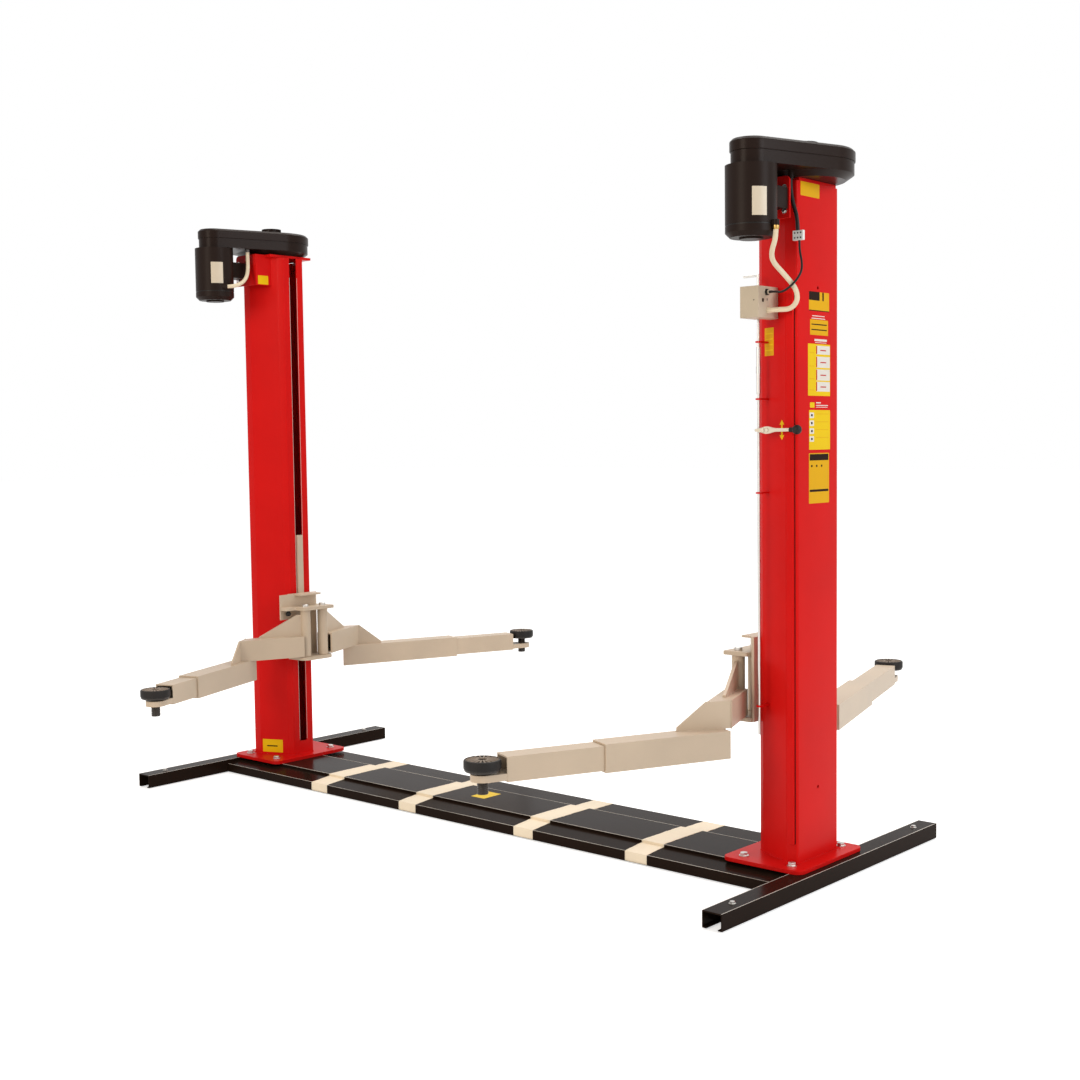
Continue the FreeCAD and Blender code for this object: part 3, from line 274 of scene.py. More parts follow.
BRASS = Finish("brass", (0.50, 0.32, 0.10), 0.36, metallic=1.0)
RUBBER = Finish("rubber", (0.014, 0.012, 0.011), 0.55, specular=0.2, tone_spread=0.2, dust=0.08)
WORN_RUBBER = Finish("worn_rubber", (0.22, 0.17, 0.13), 0.6, specular=0.3, tone_spread=0.5, dust=0.1)
OILED_STEEL = Finish("oiled_steel", (0.030, 0.024, 0.020), 0.36, specular=0.3)
# Painted highlight: a light colour for thin strips that stand in for the light caught along folded edges.
PAINTED_HIGHLIGHT = Finish("painted_highlight", (0.62, 0.57, 0.50), 0.35, specular=0.4, tone_spread=0.4)
TAPE = Finish("tape", (0.90, 0.78, 0.60), 0.45, specular=0.2, grain_scale=120.0, grain_height=0.0004)
SLEEVE = Finish("sleeve", (0.80, 0.68, 0.49), 0.55, specular=0.2, grain_scale=70.0, grain_height=0.0010)
CABLE = Finish("cable", (0.012, 0.010, 0.009), 0.42, specular=0.2)
BOX_PAINT = Finish("box_paint", (0.56, 0.47, 0.35), 0.45, specular=0.2)
WHITE_PLASTIC = Finish("white_plastic", (0.85, 0.84, 0.80), 0.35)
YELLOW_FILM = Finish("yellow_film", (0.84, 0.56, 0.006), 0.34, specular=0.08, tone_spread=0.03)
AMBER_FILM = Finish("amber_film", (0.76, 0.40, 0.004), 0.34, specular=0.08, tone_spread=0.03)
WHITE_FILM = Finish("white_film", (0.78, 0.72, 0.64), 0.36, specular=0.2, tone_spread=0.03)
BLACK_FILM = Finish("black_film", (0.022, 0.010, 0.006), 0.36, specular=0.03)
RED_FILM = Finish("red_film", (0.55, 0.02, 0.015), 0.36, specular=0.05)
CREAM_PLATE = Finish("cream_plate", (0.66, 0.56, 0.42), 0.38, tone_spread=0.04)

SLOT_FINISH = {
    "column_paint": RED_PAINT, "arm_paint": BEIGE_PAINT, "base_paint": BLACK_PAINT,
    "motor_paint": MOTOR_PAINT, "cover_plastic": COVER_PLASTIC, "steel": STEEL, "pad_rubber": RUBBER,
    "tape": TAPE, "box_paint": BOX_PAINT, "terminal_plastic": WHITE_PLASTIC, "cord_sleeve": SLEEVE,
    "cable_black": CABLE,
}


@dataclass
class Studio:
    """The camera, the lamps, the plain world and the pale floor."""

    lens: float = 49.985
    sensor: float = 36.0
    place: Point = (4.4667, -4.7634, 1.6314)
    azimuth: float = 41.6634
    pitch: float = 3.8226
    roll: float = -0.7246
    middle: Point = (0.0, 0.0, 1.1)
    floor_half: float = 60.0
    floor_colour: Colour = (0.86, 0.86, 0.855)
    world_light: float = 0.50
    floor_glow: float = 0.60

    def build(self) -> None:
        """Make the camera first, then the world, the lamps and the floor."""
        self._camera()
        self._world()
        self._lamp("key_light", (8.0, 0.5, 4.0), 3.2, 205.0, (0.95, 0.97, 1.0))
        self._lamp("front_light", (0.2, -8.0, 4.0), 3.2, 225.0, (1.0, 0.86, 0.70))
        self._lamp("top_light", (-0.5, 2.5, 8.0), 5.0, 330.0, (1.0, 0.97, 0.92))
        self._floor()

    def _camera(self) -> None:
        """The photograph's viewpoint."""
        turn, tilt, roll = (math.radians(x) for x in (self.azimuth, self.pitch, self.roll))
        ahead = Vector((-math.sin(turn) * math.cos(tilt), math.cos(turn) * math.cos(tilt), -math.sin(tilt)))
        level = Vector((math.cos(turn), math.sin(turn), 0.0))
        above = level.cross(ahead)
        right = math.cos(roll) * level + math.sin(roll) * above
        up = -math.sin(roll) * level + math.cos(roll) * above
        data = bpy.data.cameras.new("camera")
        data.lens = self.lens
        data.sensor_width = self.sensor
        camera = bpy.data.objects.new("camera", data)
        facing = Matrix((right, up, -ahead)).transposed().to_4x4()
        camera.matrix_world = Matrix.Translation(self.place) @ facing
        bpy.context.scene.collection.objects.link(camera)
        bpy.context.scene.camera = camera

    @staticmethod
    def _mask(tree: bpy.types.NodeTree) -> None:
        """Add a node named seen, 1 for camera, glossy and transmission rays and 0 for others."""
        fill(
            tree, {"path": "ShaderNodeLightPath", "mirrored": "ShaderNodeMath", "seen": "ShaderNodeMath"},
            {"mirrored:operation": "MAXIMUM", "seen:operation": "MAXIMUM"},
            "path.Is Camera Ray > mirrored.0; path.Is Glossy Ray > mirrored.1; mirrored.0 > seen.0;"
            "path.Is Transmission Ray > seen.1",
        )

    def _world(self) -> None:
        """Plain soft light all round, white where it is seen."""
        world = bpy.data.worlds.new("studio")
        bpy.context.scene.world = world
        world.use_nodes = True
        self._mask(world.node_tree)
        fill(
            world.node_tree, {"level": "ShaderNodeMapRange"},
            {
                "level.To Min": self.world_light, "level.To Max": 1.0,
                "Background.Color": (1.0, 1.0, 1.0, 1.0),
            },
            "seen.0 > level.Value; level.Result > Background.Strength",
        )

    def _lamp(self, name: str, place: Point, width: float, power: float, colour: Colour) -> None:
        """A square soft box that looks at the lift's middle.

        Args:
            name: the lamp's name.
            place: where it stands.
            width: the soft box's side.
            power: its power in watts.
            colour: its light's colour.
        """
        data = bpy.data.lights.new(name, "AREA")
        data.color = colour
        data.size = width
        data.energy = power
        lamp = bpy.data.objects.new(name, data)
        lamp.location = place
        lamp.rotation_euler = (Vector(self.middle) - Vector(place)).to_track_quat("-Z", "Y").to_euler()
        bpy.context.scene.collection.objects.link(lamp)

    def _floor(self) -> None:
        """A pale floor that keeps the object's shadow."""
        half = self.floor_half
        mesh = bpy.data.meshes.new("floor")
        corners = [(-half, -half, 0.0), (half, -half, 0.0), (half, half, 0.0), (-half, half, 0.0)]
        mesh.from_pydata(corners, [], [(0, 1, 2, 3)])
        material = bpy.data.materials.new("pale_floor")
        material.use_nodes = True
        tree = material.node_tree
        tree.nodes.remove(tree.nodes["Principled BSDF"])
        self._mask(tree)
        fill(
            tree,
            {
                "matte": "ShaderNodeBsdfDiffuse", "glow": "ShaderNodeEmission", "share": "ShaderNodeMath",
                "both": "ShaderNodeAddShader",
            },
            {
                "matte.Color": (*self.floor_colour, 1.0), "share:operation": "MULTIPLY",
                "share.1": self.floor_glow,
            },
            "seen.0 > share.0; share.0 > glow.Strength; matte.0 > both.0; glow.0 > both.1;"
            "both.0 > Material Output.Surface",
        )
        mesh.materials.append(material)
        floor = bpy.data.objects.new("floor", mesh)
        bpy.context.scene.collection.objects.link(floor)


@dataclass
class SoftEdges:
    """Rounds the sharp edges of the frame's own pieces and smooths their curved faces."""

    merge: float = 0.00002
    crease: float = 28.0
    flat: float = 0.3
    radius: float = 0.0016

    def tree(self) -> bpy.types.NodeTree:
        """The tree that joins loose triangles and shades curved faces smooth."""
        tree = new_tree(
            "GeometryNodeTree", "smooth_curves",
            {"Geometry": GEOMETRY, "Merge": self.merge, "Crease": math.radians(self.crease)},
            {"Geometry": GEOMETRY},
        )
        fill(
            tree,
            {
                "merge": "GeometryNodeMergeByDistance", "faces": "GeometryNodeSetShadeSmooth",
                "edges": "GeometryNodeSetShadeSmooth", "angle": "GeometryNodeInputMeshEdgeAngle",
                "sharp": "FunctionNodeCompare",
            },
            {"edges:domain": "EDGE", "edges.Shade Smooth": False, "sharp:operation": "GREATER_THAN"},
            "in.Geometry > merge.Geometry; in.Merge > merge.Distance; merge.Geometry > faces.Geometry;"
            "faces.Geometry > edges.Geometry; angle.Unsigned Angle > sharp.0; in.Crease > sharp.1;"
            "sharp.Result > edges.Selection; edges.Geometry > out.Geometry",
        )
        return tree

    def dress(self, pieces: Iterable[bpy.types.Object]) -> None:
        """Smooth each piece, join its flat faces and round its edges finely.

        Args:
            pieces: the frame's pieces.
        """
        tree = self.tree()
        for piece in pieces:
            joined = piece.modifiers.new("smooth_curves", "NODES")
            joined.node_group = tree
            whole = piece.modifiers.new("whole_faces", "DECIMATE")
            whole.decimate_type = "DISSOLVE"
            whole.angle_limit = math.radians(self.flat)
            bevel = round_edges(piece, self.radius, self.crease)
            bevel.use_clamp_overlap = True
            bevel.harden_normals = True


@dataclass
class Bench:
    """Turns shapes into pieces: a plain mesh at the origin, with a finish and a body."""

    shop: Workshop
    bevel_angle: float = 40.0

    def piece(
        self, name: str, shape: "Shape", finish: Finish, slot: str, body: str = "frame",
        replaced: Sequence[str] = (), edge: float = 0.0, crease: float = 32.0,
    ) -> bpy.types.Object:
        """Make a piece from a shape's faces.

        Args:
            name: the piece's name.
            shape: its corners and faces, in the frame's own place.
            finish: its surface.
            slot: the record's material slot.
            body: the body that it rides on.
            replaced: the frame's nodes that it stands for.
            edge: the radius of a fine rounding, or 0.
            crease: the angle in degrees past which an edge stays sharp.

        Returns:
            The new object.
        """
        mesh = bpy.data.meshes.new(name)
        mesh.from_pydata(shape.corners, [], shape.faces)
        work = bmesh.new()
        work.from_mesh(mesh)
        bmesh.ops.remove_doubles(work, verts=work.verts, dist=1e-6)
        bmesh.ops.recalc_face_normals(work, faces=work.faces)
        for face in work.faces:
            face.smooth = True
        for line in work.edges:
            if len(line.link_faces) == 2 and line.calc_face_angle(0.0) > math.radians(crease):
                line.smooth = False
        work.to_mesh(mesh)
        work.free()
        return self.finish(name, mesh, finish, slot, body, replaced, edge)

    def finish(
        self, name: str, mesh: bpy.types.Mesh, finish: Finish, slot: str, body: str,
        replaced: Sequence[str] = (), edge: float = 0.0,
    ) -> bpy.types.Object:
        """Give a mesh its object, finish, slot and body.

        Args:
            name: the piece's name.
            mesh: its mesh.
            finish: its surface.
            slot: the record's material slot; not used.
            body: the body that it rides on.
            replaced: the frame's nodes that it stands for.
            edge: the radius of a fine rounding, or 0.

        Returns:
            The new object.
        """
        mesh.materials.clear()
        mesh.materials.append(self.shop.material(finish))
        item = bpy.data.objects.new(name, mesh)
        bpy.context.scene.collection.objects.link(item)
        if edge:
            round_edges(item, edge, self.bevel_angle)
        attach(item, body)
        if replaced:
            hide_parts(*replaced)
        log.info("piece %s on %s: %d faces", name, body, len(mesh.polygons))
        return item

    def grown(
        self, name: str, tree: bpy.types.NodeTree, seeds: bpy.types.Mesh, values: dict[str, float],
        finish: Finish, slot: str, body: str = "frame", place: Matrix = Matrix.Identity(4),
    ) -> bpy.types.Object:
        """Make a piece by a geometry tree from seed points or paths.

        Args:
            name: the piece's name.
            tree: a tree whose last input is its material.
            seeds: the mesh that the tree works on.
            values: the tree's inputs by their names.
            finish: its surface.
            slot: the record's material slot.
            body: the body that it rides on.
            place: where the result goes.

        Returns:
            The new object.
        """
        seed = bpy.data.objects.new(name + "_seed", seeds)
        bpy.context.scene.collection.objects.link(seed)
        modifier = seed.modifiers.new("grow", "NODES")
        modifier.node_group = tree
        for socket in tree.interface.items_tree:
            if socket.name in values:
                modifier[socket.identifier] = values[socket.name]
            elif socket.name == "Material":
                modifier[socket.identifier] = self.shop.material(finish)
        graph = bpy.context.evaluated_depsgraph_get()
        mesh = bpy.data.meshes.new_from_object(seed.evaluated_get(graph), depsgraph=graph)
        bpy.data.objects.remove(seed)
        mesh.transform(place)
        mesh.name = name
        return self.finish(name, mesh, finish, slot, body)


@dataclass
class Shape:
    """Corners and faces gathered from simple forms."""

    corners: list[Vector] = field(default_factory=list)
    faces: list[tuple[int, ...]] = field(default_factory=list)

    def add(self, corners: Iterable[Vector], faces: Iterable[Sequence[int]], place: Matrix) -> "Shape":
        """Add corners and faces at a place and return the shape itself."""
        start = len(self.corners)
        self.corners += [place @ Vector(corner) for corner in corners]
        self.faces += [tuple(start + i for i in face) for face in faces]
        return self

    def lathe(self, profile: Sequence[Spot], place: Matrix, steps: int = 48) -> "Shape":
        """Turn a profile of (radius, height) points about the upright axis of a place.

        Args:
            profile: the points, from one end of the axis to the other.
            place: the lathe's place.
            steps: the points round the axis.

        Returns:
            The shape itself.
        """
        corners, faces = [], []
        for radius, height in profile:
            for i in range(steps):
                angle = 2.0 * math.pi * i / steps
                corners.append(Vector((radius * math.cos(angle), radius * math.sin(angle), height)))
        for row in range(len(profile) - 1):
            for i in range(steps):
                a, b = row * steps + i, row * steps + (i + 1) % steps
                faces.append((a, b, b + steps, a + steps))
        return self.add(corners, [f for f in faces if self._real(corners, f)], place)

    @staticmethod
    def _real(corners: Sequence[Vector], face: Sequence[int]) -> bool:
        """Whether a face has some width at one of its ends."""
        a, b, c, d = (corners[i] for i in face)
        return (a - b).length > 1e-9 or (c - d).length > 1e-9

    def prism(self, outline: Sequence[Spot], low: float, high: float, place: Matrix) -> "Shape":
        """Raise a flat outline from one level to another at a place."""
        count = len(outline)
        corners = [Vector((x, y, level)) for level in (low, high) for x, y in outline]
        faces = [tuple(reversed(range(count))), tuple(range(count, 2 * count))]
        faces += [(i, (i + 1) % count, count + (i + 1) % count, count + i) for i in range(count)]
        return self.add(corners, faces, place)

    def block(self, low: Point, high: Point) -> "Shape":
        """A box between two corners."""
        outline = [(low[0], low[1]), (high[0], low[1]), (high[0], high[1]), (low[0], high[1])]
        return self.prism(outline, low[2], high[2], Matrix.Identity(4))

    def grid(self, rows: Sequence[Sequence[Vector]], closed: bool, capped: bool = False) -> "Shape":
        """Skin a grid of points, closed round its rows where asked, with flat ends where asked."""
        wide = len(rows[0])
        corners = [point for row in rows for point in row]
        faces = []
        for r in range(len(rows) - 1):
            for i in range(wide if closed else wide - 1):
                a, b = r * wide + i, r * wide + (i + 1) % wide
                faces.append((a, b, b + wide, a + wide))
        if capped:
            faces.append(tuple(reversed(range(wide))))
            faces.append(tuple((len(rows) - 1) * wide + i for i in range(wide)))
        return self.add(corners, faces, Matrix.Identity(4))


def at(place: Point, axis: Point = (0.0, 0.0, 1.0)) -> Matrix:
    """A place whose upright axis points along a direction."""
    return Matrix.Translation(place) @ Vector(axis).to_track_quat("Z", "Y").to_matrix().to_4x4()


def seeds(
    name: str, points: Sequence[Point], aims: Sequence[Point], sizes: Sequence[float]
) -> bpy.types.Mesh:
    """A mesh of bare points, each with a direction and a size.

    Args:
        name: the mesh's name.
        points: where the points are.
        aims: which way each one looks.
        sizes: how large each one is.

    Returns:
        The new mesh, with attributes aim and size.
    """
    mesh = bpy.data.meshes.new(name)
    mesh.from_pydata(points, [], [])
    mesh.attributes.new("aim", "FLOAT_VECTOR", "POINT")
    mesh.attributes.new("size", "FLOAT", "POINT")
    mesh.attributes["aim"].data.foreach_set("vector", [part for aim in aims for part in aim])
    mesh.attributes["size"].data.foreach_set("value", sizes)
    return mesh


def paths(name: str, lines: Sequence[Sequence[Point]]) -> bpy.types.Mesh:
    """A mesh of bare edges along some lines."""
    corners, edges = [], []
    for line in lines:
        start = len(corners)
        corners += [tuple(point) for point in line]
        edges += [(start + i, start + i + 1) for i in range(len(line) - 1)]
    mesh = bpy.data.meshes.new(name)
    mesh.from_pydata(corners, edges, [])
    return mesh


def ring_seed(name: str) -> bpy.types.Mesh:
    """A single seed at the origin, for a tree that makes its own ring."""
    return seeds(name, [(0.0, 0.0, 0.0)], [(0.0, 0.0, 1.0)], [1.0])


def middle_of(low: Sequence[float], high: Sequence[float]) -> Spot:
    """The middle of a box, seen from above."""
    return ((low[0] + high[0]) / 2, (low[1] + high[1]) / 2)


def stud(radius: float, crown: float, height: float) -> list[Spot]:
    """The lathe profile of a low screw head that narrows to its crown."""
    return [(0.0, 0.0), (radius, 0.0), (crown, height), (0.0, height)]


class Trees:
    """The geometry trees of what repeats: bolts, weld beads and rings of ribs."""

    def __init__(self) -> None:
        """Build each tree once."""
        self.bolts = self._bolts()
        self.beads = self._beads()
        self.ribs = self._ribs()

    @staticmethod
    def _start(name: str, inputs: dict[str, float]) -> bpy.types.NodeTree:
        """A geometry tree with float inputs and a material, and a node named spread."""
        ends = {"Geometry": GEOMETRY, **inputs, "Material": "NodeSocketMaterial"}
        tree = new_tree("GeometryNodeTree", name, ends, {"Geometry": GEOMETRY})
        tree.nodes.new("GeometryNodeInstanceOnPoints").name = "spread"
        return tree

    @staticmethod
    def _end(tree: bpy.types.NodeTree) -> bpy.types.NodeTree:
        """Close a tree with Realize Instances and Set Material."""
        fill(
            tree, {"real": "GeometryNodeRealizeInstances", "paint": "GeometryNodeSetMaterial"}, {},
            "spread.Instances > real.Geometry; real.Geometry > paint.Geometry;"
            "in.Material > paint.Material; paint.Geometry > out.Geometry",
        )
        return tree

    def _bolts(self) -> bpy.types.NodeTree:
        """Hexagon heads on washers, one for each seed point, along its aim and at its size."""
        tree = self._start(
            "hexagon_bolts", {"Head": 0.9, "Height": 0.64, "Washer": 1.12, "Thickness": 0.18}
        )
        shares = {"half": 0.5, "deep": 0.82, "deep_half": 0.5, "narrow": 0.86, "tip": 0.18}
        fill(
            tree,
            {
                "join": "GeometryNodeJoinGeometry", "washer": "GeometryNodeMeshCylinder",
                "head": "GeometryNodeMeshCylinder", "crown": "GeometryNodeMeshCone",
                "aim": "GeometryNodeInputNamedAttribute", "size": "GeometryNodeInputNamedAttribute",
                "turn": "FunctionNodeAlignRotationToVector",
                **dict.fromkeys((*shares, "middle", "top"), "ShaderNodeMath"),
            },
            {
                "washer.Vertices": 28, "head.Vertices": 6, "crown.Vertices": 6,
                "aim:data_type": "FLOAT_VECTOR", "aim.Name": "aim", "size:data_type": "FLOAT",
                "size.Name": "size", "turn:axis": "Z",
                **{f"{name}:operation": "MULTIPLY" for name in shares},
                **{f"{name}.1": share for name, share in shares.items()},
            },
            "in.Washer > washer.Radius; in.Thickness > washer.Depth; in.Thickness > half.0;"
            "in.Head > head.Radius; in.Height > deep.0; deep.0 > head.Depth; deep.0 > deep_half.0;"
            "deep_half.0 > middle.0; in.Thickness > middle.1; in.Head > crown.Radius Bottom;"
            "in.Head > narrow.0; narrow.0 > crown.Radius Top; in.Height > tip.0; tip.0 > crown.Depth;"
            "deep.0 > top.0; in.Thickness > top.1; aim.Attribute > turn.Vector;"
            "in.Geometry > spread.Points; turn.Rotation > spread.Rotation; size.Attribute > spread.Scale",
        )
        for part, level in (("washer", "half"), ("head", "middle"), ("crown", "top")):
            fill(
                tree, {f"{part}_lift": "ShaderNodeCombineXYZ", f"{part}_raised": "GeometryNodeTransform"},
                {},
                f"{level}.0 > {part}_lift.Z; {part}_lift.0 > {part}_raised.Translation;"
                f"{part}.Mesh > {part}_raised.Geometry; {part}_raised.Geometry > join.Geometry",
            )
        fill(tree, {}, {}, "join.Geometry > spread.Instance")
        return self._end(tree)

    def _beads(self) -> bpy.types.NodeTree:
        """A weld's overlapping ripples along each path."""
        tree = self._start("weld_beads", {"Step": 0.0035, "Radius": 0.0032})
        fill(
            tree,
            {
                "line": "GeometryNodeMeshToCurve", "points": "GeometryNodeCurveToPoints",
                "ball": "GeometryNodeMeshIcoSphere", "smooth": "GeometryNodeSetShadeSmooth",
                "vary": "FunctionNodeRandomValue",
            },
            {
                "points:mode": "LENGTH", "ball.Subdivisions": 2, "vary:data_type": "FLOAT_VECTOR",
                "vary.Min": (0.55, 0.85, 0.85), "vary.Max": (0.75, 1.1, 1.1), "vary.Seed": 4,
            },
            "in.Geometry > line.Mesh; line.Curve > points.Curve; in.Step > points.Length;"
            "in.Radius > ball.Radius; ball.Mesh > smooth.Geometry; points.Points > spread.Points;"
            "points.Rotation > spread.Rotation; smooth.Geometry > spread.Instance;"
            "vary.Value > spread.Scale",
        )
        return self._end(tree)

    def _ribs(self) -> bpy.types.NodeTree:
        """Small bars set in a ring, each along its radius."""
        tree = self._start(
            "ring_of_ribs", {"Count": 24.0, "Ring": 0.04, "Length": 0.003, "Width": 0.004, "Rise": 0.02}
        )
        fill(
            tree,
            {
                "ring": "GeometryNodeMeshCircle", "bar": "GeometryNodeMeshCube",
                "extent": "ShaderNodeCombineXYZ", "outward": "GeometryNodeInputPosition",
                "turn": "FunctionNodeAlignRotationToVector",
            },
            {"turn:axis": "X", "turn:pivot_axis": "Z"},
            "in.Count > ring.Vertices; in.Ring > ring.Radius; in.Length > extent.X; in.Width > extent.Y;"
            "in.Rise > extent.Z; extent.0 > bar.Size; outward.0 > turn.Vector; ring.Mesh > spread.Points;"
            "bar.Mesh > spread.Instance; turn.Rotation > spread.Rotation",
        )
        return self._end(tree)


@dataclass(frozen=True)
class CordLine:
    """One free cord: its route, size, finish and far end."""

    name: str
    diameter: float
    length: float
    finish: Finish
    slot: str
    far_end: str
    stiffness: str
    route: tuple[Point, ...]
    on_it: tuple[str, ...] = ()


CORD_LINES = (
    CordLine(
        "motor_cord_right", 0.018, 0.449, SLEEVE, "cord_sleeve", "object", "limp",
        (
            (1.636, -0.350, 2.352), (1.636, -0.350, 2.312), (1.607, -0.334, 2.268),
            (1.590, -0.301, 2.238), (1.599, -0.255, 2.205), (1.612, -0.215, 2.170),
            (1.624, -0.197, 2.139), (1.617, -0.184, 2.105), (1.586, -0.179, 2.081),
            (1.544, -0.188, 2.082), (1.498, -0.188, 2.082),
        ),
    ),
    CordLine(
        "motor_cord_left", 0.018, 0.283, SLEEVE, "cord_sleeve", "object", "limp",
        (
            (-1.455, -0.212, 2.568), (-1.455, -0.212, 2.520), (-1.450, -0.215, 2.470),
            (-1.430, -0.243, 2.425), (-1.405, -0.293, 2.394), (-1.411, -0.3335, 2.380),
            (-1.433, -0.350, 2.380),
        ),
    ),
    CordLine(
        "head_cord", 0.014, 0.190, CABLE, "cable_black", "connector", "medium",
        (
            (1.574, -0.158, 2.540), (1.574, -0.158, 2.502), (1.585, -0.161, 2.452),
            (1.607, -0.165, 2.398), (1.607, -0.165, 2.355),
        ),
        ("terminal_block",),
    ),
    CordLine(
        "control_cord", 0.008, 0.303, CABLE, "cable_black", "object", "medium",
        (
            (1.614, -0.165, 2.320), (1.614, -0.165, 2.286), (1.628, -0.172, 2.248),
            (1.641, -0.192, 2.211), (1.638, -0.219, 2.178), (1.612, -0.231, 2.150),
            (1.572, -0.218, 2.138), (1.538, -0.197, 2.146), (1.510, -0.197, 2.146),
        ),
    ),
)


@dataclass
class Cords:
    """The free cords at the right and left heads, with their collars."""

    bench: Bench
    collar_length: float = 0.014
    collar_grow: float = 1.25
    lip_grow: float = 1.06

    def build(self) -> None:
        """Make each cord, and the collars where cords leave a housing."""
        for line in CORD_LINES:
            self._cord(line)
        motor_right, motor_left, _, control = CORD_LINES
        down, outward = (0.0, 0.0, -1.0), (1.0, 0.0, 0.0)
        ends = (
            (motor_right, 0, down, BRASS), (motor_right, -1, outward, SLEEVE),
            (motor_left, 0, down, DARK_STEEL), (control, -1, outward, CABLE),
        )
        for i, (line, end, aim, finish) in enumerate(ends):
            self._collar(f"cord_collar_{i}", line, at(line.route[end], aim), finish)

    def _cord(self, line: CordLine) -> None:
        """One cord as a smooth round curve on its route.

        Args:
            line: the cord's facts.
        """
        data = bpy.data.curves.new(line.name + "_line", "CURVE")
        data.dimensions = "3D"
        data.bevel_depth = line.diameter / 2.0
        data.bevel_resolution = 6
        data.resolution_u = 10
        data.use_fill_caps = True
        spline = data.splines.new("NURBS")
        spline.points.add(len(line.route) - 1)
        for point, place in zip(spline.points, line.route):
            point.co = (*place, 1.0)
        spline.order_u = 3
        spline.use_endpoint_u = True
        data.materials.append(self.bench.shop.material(line.finish))
        item = bpy.data.objects.new(line.name + "_line", data)
        bpy.context.scene.collection.objects.link(item)
        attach(item, "frame")
        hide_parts(line.name)
        log.info("cord %s", line.name)

    def _collar(self, name: str, line: CordLine, place: Matrix, finish: Finish) -> None:
        """A tapered strain relief round a cord where it leaves a housing."""
        inner = line.diameter / 2.0
        outer = inner * self.collar_grow
        length = self.collar_length
        profile = [
            (inner, 0.0), (outer, 0.0), (outer, length * 0.5), (inner * self.lip_grow, length),
            (inner, length), (inner, 0.0),
        ]
        self.bench.piece(name, Shape().lathe(profile, place, 32), finish, line.slot)


@dataclass(frozen=True)
class Thread:
    """A helical thread's form, and how finely it is drawn."""

    pitch: float
    depth: float
    steps: int
    rows_per_turn: int = 6
    steepness: float = 2.6
    root: float = 0.25

    def bar(self, centre: Spot, radius: float, low: float, high: float) -> Shape:
        """A closed bar with this thread cut between two levels.

        Args:
            centre: the bar's axis.
            radius: its outer radius.
            low: its lower end.
            high: its upper end.

        Returns:
            The bar's shape.
        """
        count = int((high - low) / self.pitch * self.rows_per_turn)
        rows = []
        for r in range(count + 1):
            level = low + (high - low) * r / count
            row = []
            for i in range(self.steps):
                share = i / self.steps
                phase = ((level - low) / self.pitch - share) % 1.0
                crest = min(1.0, max(0.0, self.steepness * (0.5 - abs(phase - 0.5)) - self.root))
                reach = radius - self.depth * (1.0 - crest)
                angle = 2.0 * math.pi * share
                x, y = centre[0] + reach * math.cos(angle), centre[1] + reach * math.sin(angle)
                row.append(Vector((x, y, level)))
            rows.append(row)
        return Shape().grid(rows, closed=True, capped=True)


@dataclass
class LiftScrews:
    """The lifting screws' threads, seen through the slots of the posts."""

    bench: Bench
    thread: Thread = Thread(0.010, 0.0035, 20)

    def build(self) -> None:
        """Make the threaded bar of each side in place of its plain rod."""
        for side in Side:
            name = f"lift_screw_{side.word}"
            low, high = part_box(name)
            centre = middle_of(low, high)
            shape = self.thread.bar(centre, (high[0] - low[0]) / 2, low[2], high[2])
            self.bench.piece(f"screw_thread_{side.word}", shape, STEEL, "steel", replaced=[name])


@dataclass
class Pads:
    """The round rubber pads on their threaded stems."""

    bench: Bench
    trees: Trees
    thread: Thread = Thread(0.006, 0.0018, 32)
    stem_radius: float = 0.020
    stem_seat: float = 0.001
    height: float = 0.040
    hub: float = 0.016
    rib_count: int = 20
    rib_width: float = 0.005
    rib_rise: float = 0.004
    rib_sink: float = 0.0002
    rim: float = 0.007
    plate: float = 0.007

    def build(self) -> None:
        """Make the pad, its ribs, its steel plate and its stem on each arm."""
        for arm in ARM_NAMES:
            node = f"pad_{arm}"
            low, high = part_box(node)
            centre = middle_of(low, high)
            radius = (high[0] - low[0]) / 2
            inner = radius - self.rim
            face, disc_low = high[2], high[2] - self.height
            seat = disc_low + self.plate
            place = at((*centre, 0.0))
            top = face - self.rib_rise
            profile = [
                (0.0, seat), (radius - 0.002, seat), (radius, seat + 0.003), (radius, face - 0.006),
                (radius - 0.002, face - 0.0015), (radius - 0.005, face), (inner, face),
                (inner - 0.002, top), (self.hub, top), (self.hub - 0.002, top - 0.006),
                (0.0, top - 0.006),
            ]
            rubber = Shape().lathe(profile, place, 64)
            self.bench.piece(f"pad_rubber_{arm}", rubber, RUBBER, "pad_rubber", node, [node])
            length = inner - self.hub
            self.bench.grown(
                f"pad_ribs_{arm}", self.trees.ribs, ring_seed("pad_seed"),
                {
                    "Count": self.rib_count, "Ring": self.hub + length / 2, "Length": length,
                    "Width": self.rib_width, "Rise": self.rib_rise,
                },
                WORN_RUBBER, "pad_rubber", node,
                Matrix.Translation((*centre, top + self.rib_rise / 2 - self.rib_sink)),
            )
            profile = [
                (0.0, disc_low), (radius - 0.005, disc_low), (radius - 0.003, disc_low + 0.002),
                (radius - 0.003, seat), (0.0, seat),
            ]
            steel = Shape().lathe(profile, place, 56)
            self.bench.piece(f"pad_plate_{arm}", steel, OILED_STEEL, "steel", node)
            stem = self.thread.bar(centre, self.stem_radius, low[2], disc_low + self.stem_seat)
            self.bench.piece(f"pad_stem_{arm}", stem, OILED_STEEL, "steel", node)


